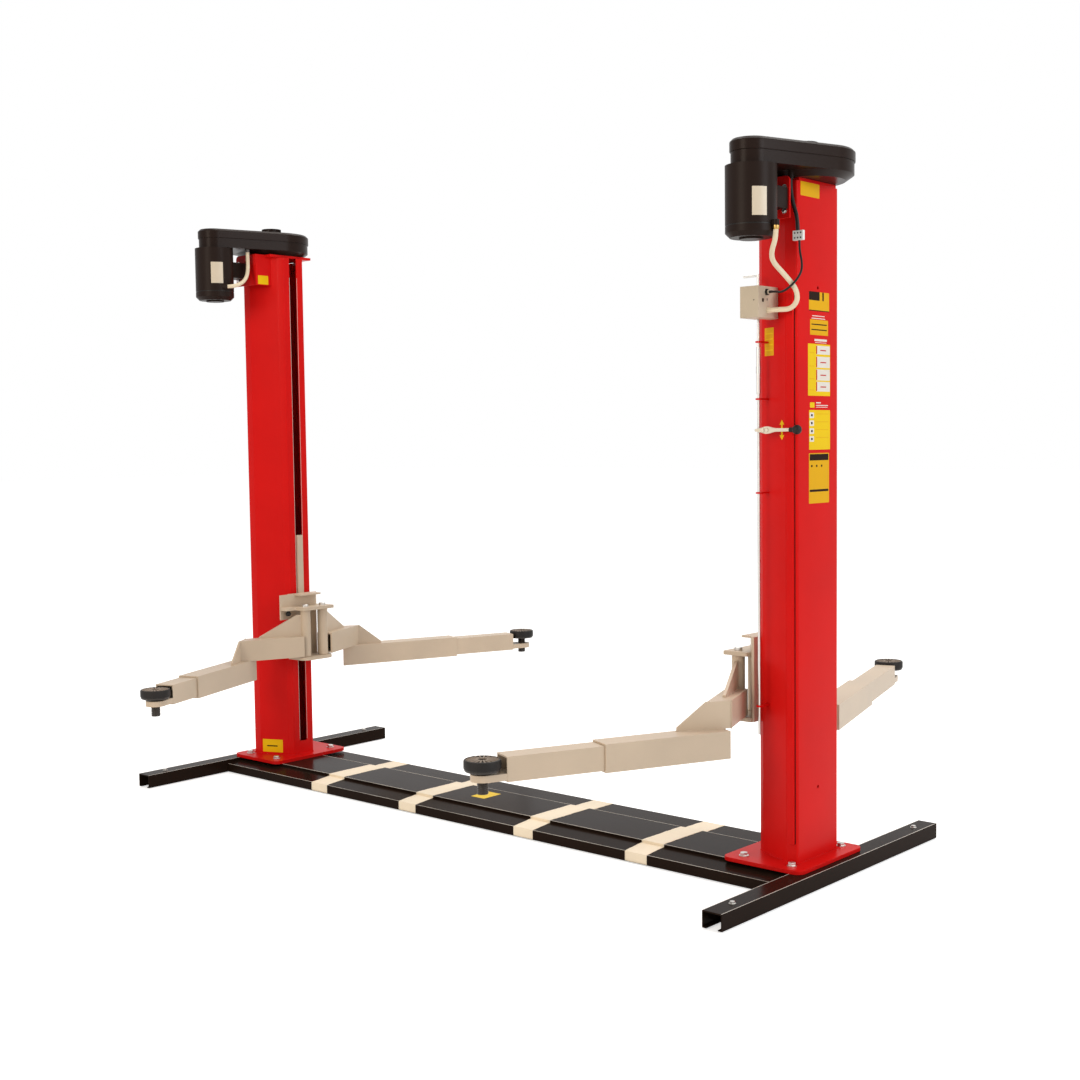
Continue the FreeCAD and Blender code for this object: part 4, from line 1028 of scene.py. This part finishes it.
@dataclass
class TapeBands:
    """The wrinkled tape bands round the base."""

    bench: Bench
    places: tuple[float, ...] = (-0.905, -0.310, 0.380, 0.965)
    width: float = 0.108
    sheet: float = 0.0004
    lift: float = 0.0005
    wrinkle: float = 0.0009
    deepest: float = -0.6
    creases_across: float = 55.0
    creases_along: float = 120.0
    creases_up: float = 90.0
    crease_shift: float = 3.0
    drift: float = 0.0025
    edge_waves: float = 30.0
    edge_shift: float = 7.0
    hem: float = 0.006
    skirt: float = 0.044
    across: int = 12
    step: float = 0.008

    def build(self) -> None:
        """Make the four bands as one piece that replaces the plain ones."""
        (_, front, _), (_, beam_back, beam_top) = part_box("base_front_beam")
        _, cover_back, cover_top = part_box("base_cover")[1]
        (_, back_start, _), (_, back_end, back_top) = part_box("base_back_beam")
        outline = [
            Vector((0.0, y, z))
            for y, z in (
                (front, self.hem), (front, self.skirt), (beam_back, beam_top),
                (beam_back - 0.001, cover_top), (cover_back, cover_top), (back_start, back_top),
                (back_end, back_top), (back_end, self.hem),
            )
        ]
        shape = Shape()
        for number, middle in enumerate(self.places):
            shape.grid(self._band(outline, middle, number), closed=False)
        item = self.bench.piece("tape_wraps", shape, TAPE, "tape", replaced=["tape_bands"], crease=60.0)
        thick = item.modifiers.new("sheet", "SOLIDIFY")
        thick.thickness = self.sheet
        thick.offset = 0.0

    def _band(self, outline: Sequence[Vector], middle: float, number: int) -> list[list[Vector]]:
        """The rows of one band's grid.

        Args:
            outline: the base's outline from front to back.
            middle: the band's place across the base.
            number: which band it is.

        Returns:
            A row of points for each step along the outline.
        """
        rows = []
        for first, last in zip(outline, outline[1:]):
            run = last - first
            outward = Vector((0.0, -run.z, run.y)).normalized()
            count = max(1, round(run.length / self.step))
            for i in range(count + (last is outline[-1])):
                spot = first + run * (i / count)
                row = []
                for k in range(self.across + 1):
                    share = k / self.across - 0.5
                    wave = noise.noise(Vector((number * self.edge_shift, spot.y * self.edge_waves, share)))
                    x = middle + share * self.width + self.drift * wave
                    along = spot.y * self.creases_along + spot.z * self.creases_up
                    field_place = Vector((x * self.creases_across, along, number * self.crease_shift))
                    lift = self.lift + self.wrinkle * max(self.deepest, noise.noise(field_place))
                    row.append(Vector((x, spot.y, spot.z)) + outward * lift)
                rows.append(row)
        return rows


class SignPlane(Enum):
    """The flat faces that carry signs: a point, the first coordinate's direction and the normal."""

    OUTER_RIGHT = ((1.589, 0.0, 0.0), (0.0, 1.0, 0.0), (1.0, 0.0, 0.0))
    SLANT_RIGHT = ((1.400, -0.078, 0.0), (0.9133, -0.4074, 0.0), (-0.4074, -0.9133, 0.0))
    SLANT_LEFT = ((-1.400, -0.078, 0.0), (0.9133, 0.4074, 0.0), (0.4074, -0.9133, 0.0))
    WEB_LEFT = ((-1.430, 0.0, 0.0), (0.0, 1.0, 0.0), (1.0, 0.0, 0.0))
    BOX_SIDE = ((1.498, 0.0, 0.0), (0.0, 1.0, 0.0), (1.0, 0.0, 0.0))
    COVER_TOP = ((0.0, 0.0, 0.064), (1.0, 0.0, 0.0), (0.0, 0.0, 1.0))

    @property
    def matrix(self) -> Matrix:
        """The place whose X runs along the face, and whose Z leaves it."""
        place, along, normal = (Vector(part) for part in self.value)
        return Matrix.Translation(place) @ Matrix((along, normal.cross(along), normal)).transposed().to_4x4()


Patch = tuple[float, float, float, float, int, Finish]


def sign_rows() -> dict[SignPlane, list[Patch]]:
    """The plain patches of each sign: left, right, low, high, layer and finish.

    Returns:
        The patches by the face that they lie on.
    """
    outer: list[Patch] = [
        (-0.117, 0.010, 2.486, 2.5355, 0, AMBER_FILM), (-0.061, 0.077, 2.083, 2.152, 0, AMBER_FILM),
        (-0.061, 0.011, 2.121, 2.152, 1, BLACK_FILM), (0.030, 0.040, 2.121, 2.152, 1, BLACK_FILM),
        (-0.061, 0.077, 2.083, 2.086, 1, BLACK_FILM), (-0.054, 0.070, 1.997, 2.052, 0, AMBER_FILM),
        (-0.045, 0.061, 2.033, 2.037, 1, BLACK_FILM), (-0.045, 0.061, 2.014, 2.018, 1, BLACK_FILM),
        (-0.068, 0.084, 1.778, 1.965, 0, YELLOW_FILM), (-0.061, 0.084, 1.583, 1.7265, 0, YELLOW_FILM),
        (-0.062, 0.077, 1.388, 1.5705, 0, AMBER_FILM), (-0.057, 0.072, 1.544, 1.567, 1, BLACK_FILM),
        (-0.057, 0.072, 1.430, 1.4385, 1, BLACK_FILM), (-0.040, 0.046, 2.064, 2.067, 0, WHITE_FILM),
        (-0.044, 0.050, 2.055, 2.058, 0, WHITE_FILM), (-0.024, 0.062, 1.975, 1.983, 0, WHITE_FILM),
        (-0.020, 0.058, 1.969, 1.971, 0, WHITE_FILM), (-0.055, -0.024, 1.735, 1.754, 0, YELLOW_FILM),
        (-0.013, 0.020, 1.751, 1.755, 0, WHITE_FILM), (-0.013, 0.070, 1.742, 1.745, 0, WHITE_FILM),
        (-0.013, 0.066, 1.736, 1.738, 0, WHITE_FILM),
    ]
    for low, high in ((1.928, 1.959), (1.880, 1.920), (1.834, 1.874), (1.794, 1.829)):
        outer.append((-0.013, 0.082, low, high, 1, WHITE_FILM))
        outer.append((-0.013, -0.006, low + 0.001, high - 0.001, 2, RED_FILM))
        outer.append((0.016, 0.056, (low + high) / 2 - 0.003, (low + high) / 2 + 0.001, 2, RED_FILM))
        outer.append((-0.060, -0.026, low + 0.004, low + 0.006, 1, AMBER_FILM))
    for i in range(4):
        high = 1.7175 - 0.0285 * i
        outer.append((-0.057, -0.028, high - 0.020, high, 1, WHITE_FILM))
        outer.append((-0.048, -0.037, high - 0.014, high - 0.006, 2, BLACK_FILM))
        outer.append((-0.018, 0.072, high - 0.006, high - 0.004, 1, AMBER_FILM))
    for i in range(3):
        outer.append((-0.048 + 0.034 * i, -0.038 + 0.034 * i, 1.520, 1.528, 1, BLACK_FILM))
    slant_right: list[Patch] = [(0.019, 0.078, 1.926, 2.027, 0, AMBER_FILM)]
    slant_right += [(0.026, 0.071, 1.944 + 0.02 * i, 1.948 + 0.02 * i, 1, YELLOW_FILM) for i in range(4)]
    return {
        SignPlane.OUTER_RIGHT: outer, SignPlane.SLANT_RIGHT: slant_right,
        SignPlane.SLANT_LEFT: [
            (-0.142, -0.031, 0.088, 0.152, 0, YELLOW_FILM), (-0.119, -0.060, 0.116, 0.122, 1, BLACK_FILM),
        ],
        SignPlane.WEB_LEFT: [(-0.172, -0.110, 2.404, 2.446, 0, YELLOW_FILM)],
        SignPlane.BOX_SIDE: [(-0.226, -0.215, 2.110, 2.123, 1, BLACK_FILM)],
        SignPlane.COVER_TOP: [(-0.120, -0.040, -0.090, 0.020, 0, YELLOW_FILM)],
    }


@dataclass
class Signs:
    """Plain coloured films on the posts and the base, with no words or pictures."""

    bench: Bench
    film: float = 0.0002
    corner: float = 0.0015

    def build(self) -> None:
        """Make one piece for each finish on each face."""
        for plane, rows in sign_rows().items():
            by_finish: dict[Finish, Shape] = {}
            for row in rows:
                self._patch(by_finish.setdefault(row[-1], Shape()), plane.matrix, row)
            for finish, shape in by_finish.items():
                name = f"sign_{plane.name.lower()}_{finish.name}"
                self.bench.piece(name, shape, finish, "terminal_plastic")
        self._arrow()

    def _patch(self, shape: Shape, place: Matrix, patch: Patch) -> None:
        """Add one film with cut corners, on top of as many films as its layer says."""
        left, right, low, high, layer, _ = patch
        cut = min(self.corner, (right - left) / 4, (high - low) / 4)
        outline = [
            (left + cut, low), (right - cut, low), (right, low + cut), (right, high - cut),
            (right - cut, high), (left + cut, high), (left, high - cut), (left, low + cut),
        ]
        shape.prism(outline, layer * self.film, (layer + 1) * self.film, place)

    def _arrow(self) -> None:
        """The double arrow behind the lever, on the slanted side of the right post."""
        middle, centre = 0.130, 1.656
        half, head, wide, shaft = 0.036, 0.017, 0.015, 0.005
        neck = half - head
        right = [(0.0, -half), (wide, -neck), (shaft, -neck), (shaft, neck), (wide, neck)]
        outline = [(middle + hand * x, centre + hand * y) for hand in (1, -1) for x, y in right]
        shape = Shape().prism(outline, 0.0, self.film, SignPlane.SLANT_RIGHT.matrix)
        self.bench.piece("sign_lever_arrow", shape, YELLOW_FILM, "terminal_plastic")


@dataclass
class Heads:
    """What is fixed to the motors and the belt covers."""

    bench: Bench
    trees: Trees
    axis_x: float = 1.535
    axis_y: float = -0.350
    drain_sink: float = 0.0062
    seam_rise: float = 0.045
    knurl_drop: float = 0.0135
    knurl_count: float = 26.0
    knurl_ring: float = 0.0452
    knurl_size: Point = (0.004, 0.0048, 0.026)
    plate_radius: float = 0.0900
    plate_lift: float = 0.0006
    plate_steps: int = 14

    def build(self) -> None:
        """Name plates, drain screws, seams and the knurls of the caps."""
        nub = [(0.0, -0.006), (0.007, -0.006), (0.008, -0.004), (0.008, 0.0), (0.0, 0.0)]
        seam = [(0.0862, 0.0), (0.0885, 0.0), (0.0885, 0.004), (0.0862, 0.004), (0.0862, 0.0)]
        knurl = dict(zip(("Length", "Width", "Rise"), self.knurl_size))
        for side, angles, low, high in (
            (Side.RIGHT, (-54.3, -20.4), 2.3846, 2.482), (Side.LEFT, (-46.8, -10.2), 2.3955, 2.495),
        ):
            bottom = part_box(f"motor_{side.word}")[0][2]
            axis = (side.value * self.axis_x, self.axis_y)
            self._name_plate(side, axis, angles, (low, high))
            drain = Shape().lathe(nub, at((*axis, bottom + self.drain_sink)), 6)
            self.bench.piece(f"motor_drain_{side.word}", drain, DARK_STEEL, "steel")
            band = Shape().lathe(seam, at((*axis, bottom + self.seam_rise)), 64)
            self.bench.piece(f"motor_seam_{side.word}", band, CABLE, "motor_paint")
            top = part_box(f"cover_lid_{side.word}")[1][2]
            self.bench.grown(
                f"cap_knurls_{side.word}", self.trees.ribs, ring_seed("cap_seed"),
                {"Count": self.knurl_count, "Ring": self.knurl_ring, **knurl}, COVER_PLASTIC,
                "cover_plastic", "frame", Matrix.Translation((axis[0], 0.0, top - self.knurl_drop)),
            )

    def _name_plate(self, side: Side, axis: Spot, angles: Spot, levels: Spot) -> None:
        """A blank cream plate bent round a motor.

        Args:
            side: whose motor it is.
            axis: the motor's axis.
            angles: where the plate starts and ends round it, in degrees.
            levels: its lower and upper edge.
        """
        low, high = levels
        outer = self.plate_radius + self.plate_lift
        rows = []
        for reach, level in (
            (self.plate_radius, low), (self.plate_radius, high), (outer, high), (outer, low),
        ):
            row = []
            for i in range(self.plate_steps + 1):
                angle = math.radians(angles[0] + (angles[1] - angles[0]) * i / self.plate_steps)
                x, y = axis[0] + reach * math.cos(angle), axis[1] + reach * math.sin(angle)
                row.append(Vector((x, y, level)))
            rows.append(row)
        rows.append(rows[0])
        shape = Shape().grid(rows, closed=False)
        for end in (0, self.plate_steps):
            shape.add([rows[i][end] for i in range(4)], [(0, 1, 2, 3)], Matrix.Identity(4))
        self.bench.piece(f"name_plate_{side.word}", shape, CREAM_PLATE, "terminal_plastic")


@dataclass
class Fasteners:
    """Bolts, nuts and weld beads."""

    bench: Bench
    trees: Trees
    flange_bolt: float = 0.0165
    flange_x: Spot = (POST_INNER, 1.584)
    flange_y: float = 0.172
    motor_bolt: float = 0.009
    motor_bolt_place: Spot = (1.564, -0.183)
    motor_bolt_levels: Spot = (2.509, 2.426)
    foot_bolt: float = 0.011
    foot_x: float = 1.6425
    foot_y: Spot = (-0.638, 0.637)
    post_step: float = 0.0042
    arm_step: float = 0.0034
    arm_radius: float = 0.0028
    arm_levels: Spot = (0.585, 0.685)
    gusset_half: float = 0.0062
    gusset_ends: Spot = (0.032, 0.234)
    plate_corner: Spot = (0.1784, 0.2358)
    tube_starts: tuple[Spot, ...] = ((0.2745, 0.2195), (0.2745, 0.2085))
    tube_run: Spot = (0.1090, -0.0192)

    def build(self) -> None:
        """Make the bolts of the frame as one piece, and the welds of each body."""
        rows: list[tuple[Point, Point, float]] = []
        up, forward = (0.0, 0.0, 1.0), (0.0, -1.0, 0.0)
        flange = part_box("column_flange_right")[1][2]
        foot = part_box("foot_right")[1][2]
        for side in Side:
            for x in self.flange_x:
                for y in (-self.flange_y, self.flange_y):
                    rows.append(((side.value * x, y, flange), up, self.flange_bolt))
            x, y = self.motor_bolt_place
            for z in self.motor_bolt_levels:
                rows.append(((side.value * x, y, z), forward, self.motor_bolt))
            for y in self.foot_y:
                rows.append(((side.value * self.foot_x, y, foot), up, self.foot_bolt))
        mesh = seeds("bolt_seed", *zip(*rows))
        self.bench.grown("frame_bolts", self.trees.bolts, mesh, {}, STEEL, "steel")
        self._column_welds(flange)
        for arm in ARM_NAMES:
            self._arm_welds(arm)

    def _column_welds(self, flange: float) -> None:
        """The weld round the foot of each post, at the flange's level."""
        ring = [*POST_HALF, *((x, -y) for x, y in reversed(POST_HALF)), POST_HALF[0]]
        lines = [[(side.value * x, y, flange) for x, y in ring] for side in Side]
        mesh = paths("post_seed", lines)
        step = {"Step": self.post_step}
        self.bench.grown("post_welds", self.trees.beads, mesh, step, RED_PAINT, "column_paint")

    def _arm_welds(self, arm: str) -> None:
        """The welds of an arm's gusset, end plate and tube.

        Args:
            arm: the arm's name.
        """
        place = ArmPlace(arm)
        low, high = self.arm_levels
        lines = [
            [place.cranked(along, offset, high) for along in self.gusset_ends]
            for offset in (-self.gusset_half, self.gusset_half)
        ]
        for along, across in self.tube_starts:
            last = (along + self.tube_run[0], across + self.tube_run[1])
            lines.append([place.world(x, place.side * y, low) for x, y in ((along, across), last)])
        along, across = self.plate_corner
        lines.append([place.world(along, place.side * across, level) for level in (low, high)])
        self.bench.grown(
            f"arm_welds_{arm}", self.trees.beads, paths("arm_seed", lines),
            {"Step": self.arm_step, "Radius": self.arm_radius}, BEIGE_PAINT, "arm_paint", f"arm_{arm}",
        )


class ArmPlace:
    """An arm's own coordinates: along it from the hinge, across it and up."""

    def __init__(self, arm: str) -> None:
        """Read the hinge and the direction from the frame's joints.

        Args:
            arm: the arm's name.
        """
        self.hinge = Vector(JOINTS[f"swing_{arm}"]["pos_m"])
        self.along = Vector(JOINTS[f"extend_{arm}"]["axis"])
        self.across = Vector((-self.along.y, self.along.x, 0.0))
        self.side = 1.0 if arm in ("front_right", "rear_left") else -1.0

    def world(self, along: float, across: float, level: float) -> Point:
        """The place of a point given along the arm and across it."""
        spot = self.hinge + self.along * along + self.across * across
        return (spot.x, spot.y, level)

    def cranked(self, along: float, across: float, level: float) -> Point:
        """The place of a point given along the crank's own direction."""
        share = math.sqrt(0.5)
        return self.world(share * (along - across), self.side * share * (along + across), level)


@dataclass
class Carriages:
    """The lock knobs and the pins' heads on the carriages."""

    bench: Bench
    knob_place: Point = (1.316, 0.126, 0.812)
    pin_x: float = 1.275
    pin_spread: float = 0.054
    pin_top: float = 0.835

    def build(self) -> None:
        """Make the knob under each upper hinge plate and a cap on each pin."""
        grip = [
            (0.0, 0.0), (0.007, 0.0), (0.007, 0.008), (0.012, 0.010), (0.013, 0.022), (0.010, 0.026),
            (0.0, 0.026),
        ]
        head = [(0.0, 0.0), (0.015, 0.0), (0.0155, 0.0006), (0.0155, 0.0028), (0.014, 0.004), (0.0, 0.004)]
        x, y, z = self.knob_place
        for side in Side:
            hand = side.value
            knob = Shape().lathe(grip, at((hand * x, hand * y, z), (0.0, 0.0, -1.0)), 28)
            self.bench.piece(f"lock_knob_{side.word}", knob, CABLE, "pad_rubber", f"carriage_{side.word}")
            caps = Shape()
            for spread in (-self.pin_spread, self.pin_spread):
                caps.lathe(head, at((hand * self.pin_x, spread, self.pin_top)), 32)
            self.bench.piece(f"pin_caps_{side.word}", caps, STEEL, "steel", f"carriage_{side.word}")


@dataclass
class Controls:
    """The lever with its ball, and the small things on the switch box and the terminal block."""

    bench: Bench
    ball: float = 0.0175
    half: float = 0.0064
    swell: float = 0.0070
    thick: float = 0.0038
    tail: float = 0.032
    swell_place: float = 0.018
    swell_reach: float = 0.040
    swell_steps: int = 16
    ball_steps: int = 16
    neck_share: float = 0.85
    tail_share: float = 0.7
    tail_point: float = 0.003
    edge: float = 0.0008
    box_side: float = 1.498
    contact_inset: float = 0.009
    contact_step: float = 0.012

    def build(self) -> None:
        """Replace the plain lever and dress the box and the terminal block."""
        low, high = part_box("control_lever")
        front = (low[1] + high[1]) / 2
        level = (low[2] + high[2]) / 2
        end = high[0] - self.ball
        self._bar(front, level, end)
        self._ball(at((end, front, level), (1.0, 0.0, 0.0)))
        self._screws()

    def _bar(self, front: float, level: float, end: float) -> None:
        """The lever's flat bar, with its swelling and two nuts.

        Args:
            front: the bar's place along the car.
            level: its height.
            end: where the ball's middle is.
        """
        pin = JOINTS["lever_turn"]["pos_m"][0]
        half, thick = self.half, self.thick
        tail, middle = pin - self.tail, pin + self.swell_place
        edge = []
        for i in range(self.swell_steps + 1):
            share = 2.0 * i / self.swell_steps - 1.0
            rise = half + self.swell * math.cos(math.pi / 2 * share) ** 2
            edge.append((middle + self.swell_reach * share, rise))
        outline = [(x, level + rise) for x, rise in edge]
        neck, heel = half * self.neck_share, half * self.tail_share
        outline += [(end, level + neck), (end, level - neck)]
        outline += [(x, level - rise) for x, rise in reversed(edge)]
        outline += [(tail, level - heel), (tail - self.tail_point, level), (tail, level + heel)]
        flat = Matrix(((1, 0, 0, 0), (0, 0, -1, front), (0, 1, 0, 0), (0, 0, 0, 1)))
        bar = Shape().prism(outline, -thick, thick, flat)
        crown = thick + 0.0045
        nut = [(0.0, thick), (0.0085, thick), (0.0085, thick + 0.003), (0.007, crown), (0.0, crown)]
        for x, steps in ((middle, 6), (pin, 28)):
            bar.lathe(nut, at((x, front, level), (0.0, -1.0, 0.0)), steps)
        self.bench.piece("lever_bar", bar, BRUSHED, "steel", "lever", ["control_lever"], edge=self.edge)

    def _ball(self, place: Matrix) -> None:
        """The black ball with its neck, at a place whose upright axis runs along the lever."""
        profile = [(0.0, -self.ball)]
        for i in range(1, self.ball_steps):
            angle = math.pi * i / self.ball_steps - math.pi / 2
            profile.append((self.ball * math.cos(angle), self.ball * math.sin(angle)))
        profile.append((0.0, self.ball))
        ball = Shape().lathe(profile, place, 32)
        ball.lathe([(0.0, -0.030), (0.0085, -0.030), (0.0085, -0.012), (0.0, -0.012)], place, 24)
        self.bench.piece("lever_ball", ball, CABLE, "pad_rubber", "lever")

    def _screws(self) -> None:
        """The screws and the gland nut of the switch box, and the terminal block's contacts."""
        outward, forward = (1.0, 0.0, 0.0), (0.0, -1.0, 0.0)
        screws = Shape()
        for z in (2.118, 2.122):
            screws.lathe(stud(0.0022, 0.0018, 0.0012), at((self.box_side, -0.194, z), outward), 12)
        screws.lathe(stud(0.0024, 0.002, 0.0012), at((1.479, -0.250, 2.117), forward), 12)
        self.bench.piece("box_screws", screws, DARK_STEEL, "steel")
        low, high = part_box("terminal_block")
        contacts = Shape()
        for i in range(3):
            x = low[0] + self.contact_inset + self.contact_step * i
            for z in (low[2] + self.contact_inset, high[2] - self.contact_inset):
                contacts.lathe(stud(0.0032, 0.0028, 0.001), at((x, low[1], z), forward), 14)
        self.bench.piece("terminal_screws", contacts, DARK_STEEL, "steel")
        profile = [(0.0, 0.0), (0.0125, 0.0), (0.0125, 0.006), (0.0105, 0.008), (0.0, 0.008)]
        nut = Shape().lathe(profile, at((self.box_side, -0.197, 2.146), outward), 6)
        self.bench.piece("box_gland_nut", nut, CABLE, "cable_black")


@dataclass
class PaintedLightLines:
    """Painted highlights along the folded edges of the base and the tops of the feet, and painted shade lines
    beside the cable strip.
    """

    bench: Bench
    width: float = 0.0022
    rise: float = 0.0004
    inset: float = 0.001
    front_level: float = 0.044
    shade_width: float = 0.0030

    def build(self) -> None:
        """Make the painted fold highlights as one piece and the painted shade lines as another."""
        shape = Shape()
        front, cover, back = (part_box(name) for name in ("base_front_beam", "base_cover", "base_back_beam"))
        reach = cover[1][0]
        for y, level in (
            (front[0][1] + self.inset, self.front_level), (cover[0][1], cover[1][2]),
            (cover[1][1] - self.width, cover[1][2]), (back[0][1], back[1][2]),
        ):
            shape.block((-reach, y, level - self.rise), (reach, y + self.width, level + self.rise))
        for side in Side:
            low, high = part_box(f"foot_{side.word}")
            for x in (low[0] + self.inset, high[0] - self.inset - self.width):
                shape.block((x, low[1], high[2] - self.rise), (x + self.width, high[1], high[2] + self.rise))
        # These light strips are painted highlight along the folds and feet, not bare metal.
        self.bench.piece("painted_fold_highlights", shape, PAINTED_HIGHLIGHT, "base_paint")
        low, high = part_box("cable_strip")
        # Black strips on both sides of the cable strip: painted shade for its shaded recesses.
        painted_shades = Shape()
        for x in (low[0] - self.shade_width, high[0]):
            painted_shades.block((x, high[1] - self.rise * 2, low[2]), (x + self.shade_width, high[1], high[2]))
        self.bench.piece("strip_painted_shade", painted_shades, CABLE, "cable_black")


@dataclass
class SlotHighlights:
    """Painted highlights: thin light lines along the lips of the slots of the posts."""

    bench: Bench
    slot_half: float = 0.0222
    width: float = 0.0014
    rise: float = 0.0003
    bottom: float = 0.150
    top: float = 2.44

    def build(self) -> None:
        """Make a thin line of painted highlight at each lip of each slot."""
        shape = Shape()
        for side in Side:
            face = side.value * POST_INNER
            left, right = sorted((face, face - side.value * self.rise))
            for hand in (-1, 1):
                near, far = sorted((hand * self.slot_half, hand * (self.slot_half + self.width)))
                shape.block((left, near, self.bottom), (right, far, self.top))
        # The white film here is painted highlight along the slot lips.
        self.bench.piece("slot_painted_highlights", shape, WHITE_FILM, "steel")


def paint_nodes(shop: Workshop) -> None:
    """Give each of the frame's pieces the material of its slot.

    Args:
        shop: the builder of materials.
    """
    for row in frame["record"]["subparts"]:
        piece = NODES[row["node"]]
        piece.data.materials.clear()
        piece.data.materials.append(shop.material(SLOT_FINISH[row["material_slot"]]))


def main() -> None:
    """Build the scene in order and report each step."""
    logging.basicConfig(level=logging.INFO, format="%(message)s")
    bpy.context.scene.view_settings.view_transform = "Standard"
    Studio().build()
    shop = Workshop()
    bench = Bench(shop)
    trees = Trees()
    paint_nodes(shop)
    for part in (
        Cords(bench), LiftScrews(bench), Pads(bench, trees), TapeBands(bench), Signs(bench),
        Heads(bench, trees), Fasteners(bench, trees), Carriages(bench), Controls(bench), PaintedLightLines(bench),
        SlotHighlights(bench),
    ):
        part.build()
    SoftEdges().dress(NODES.values())


if __name__ == "__main__":
    main()
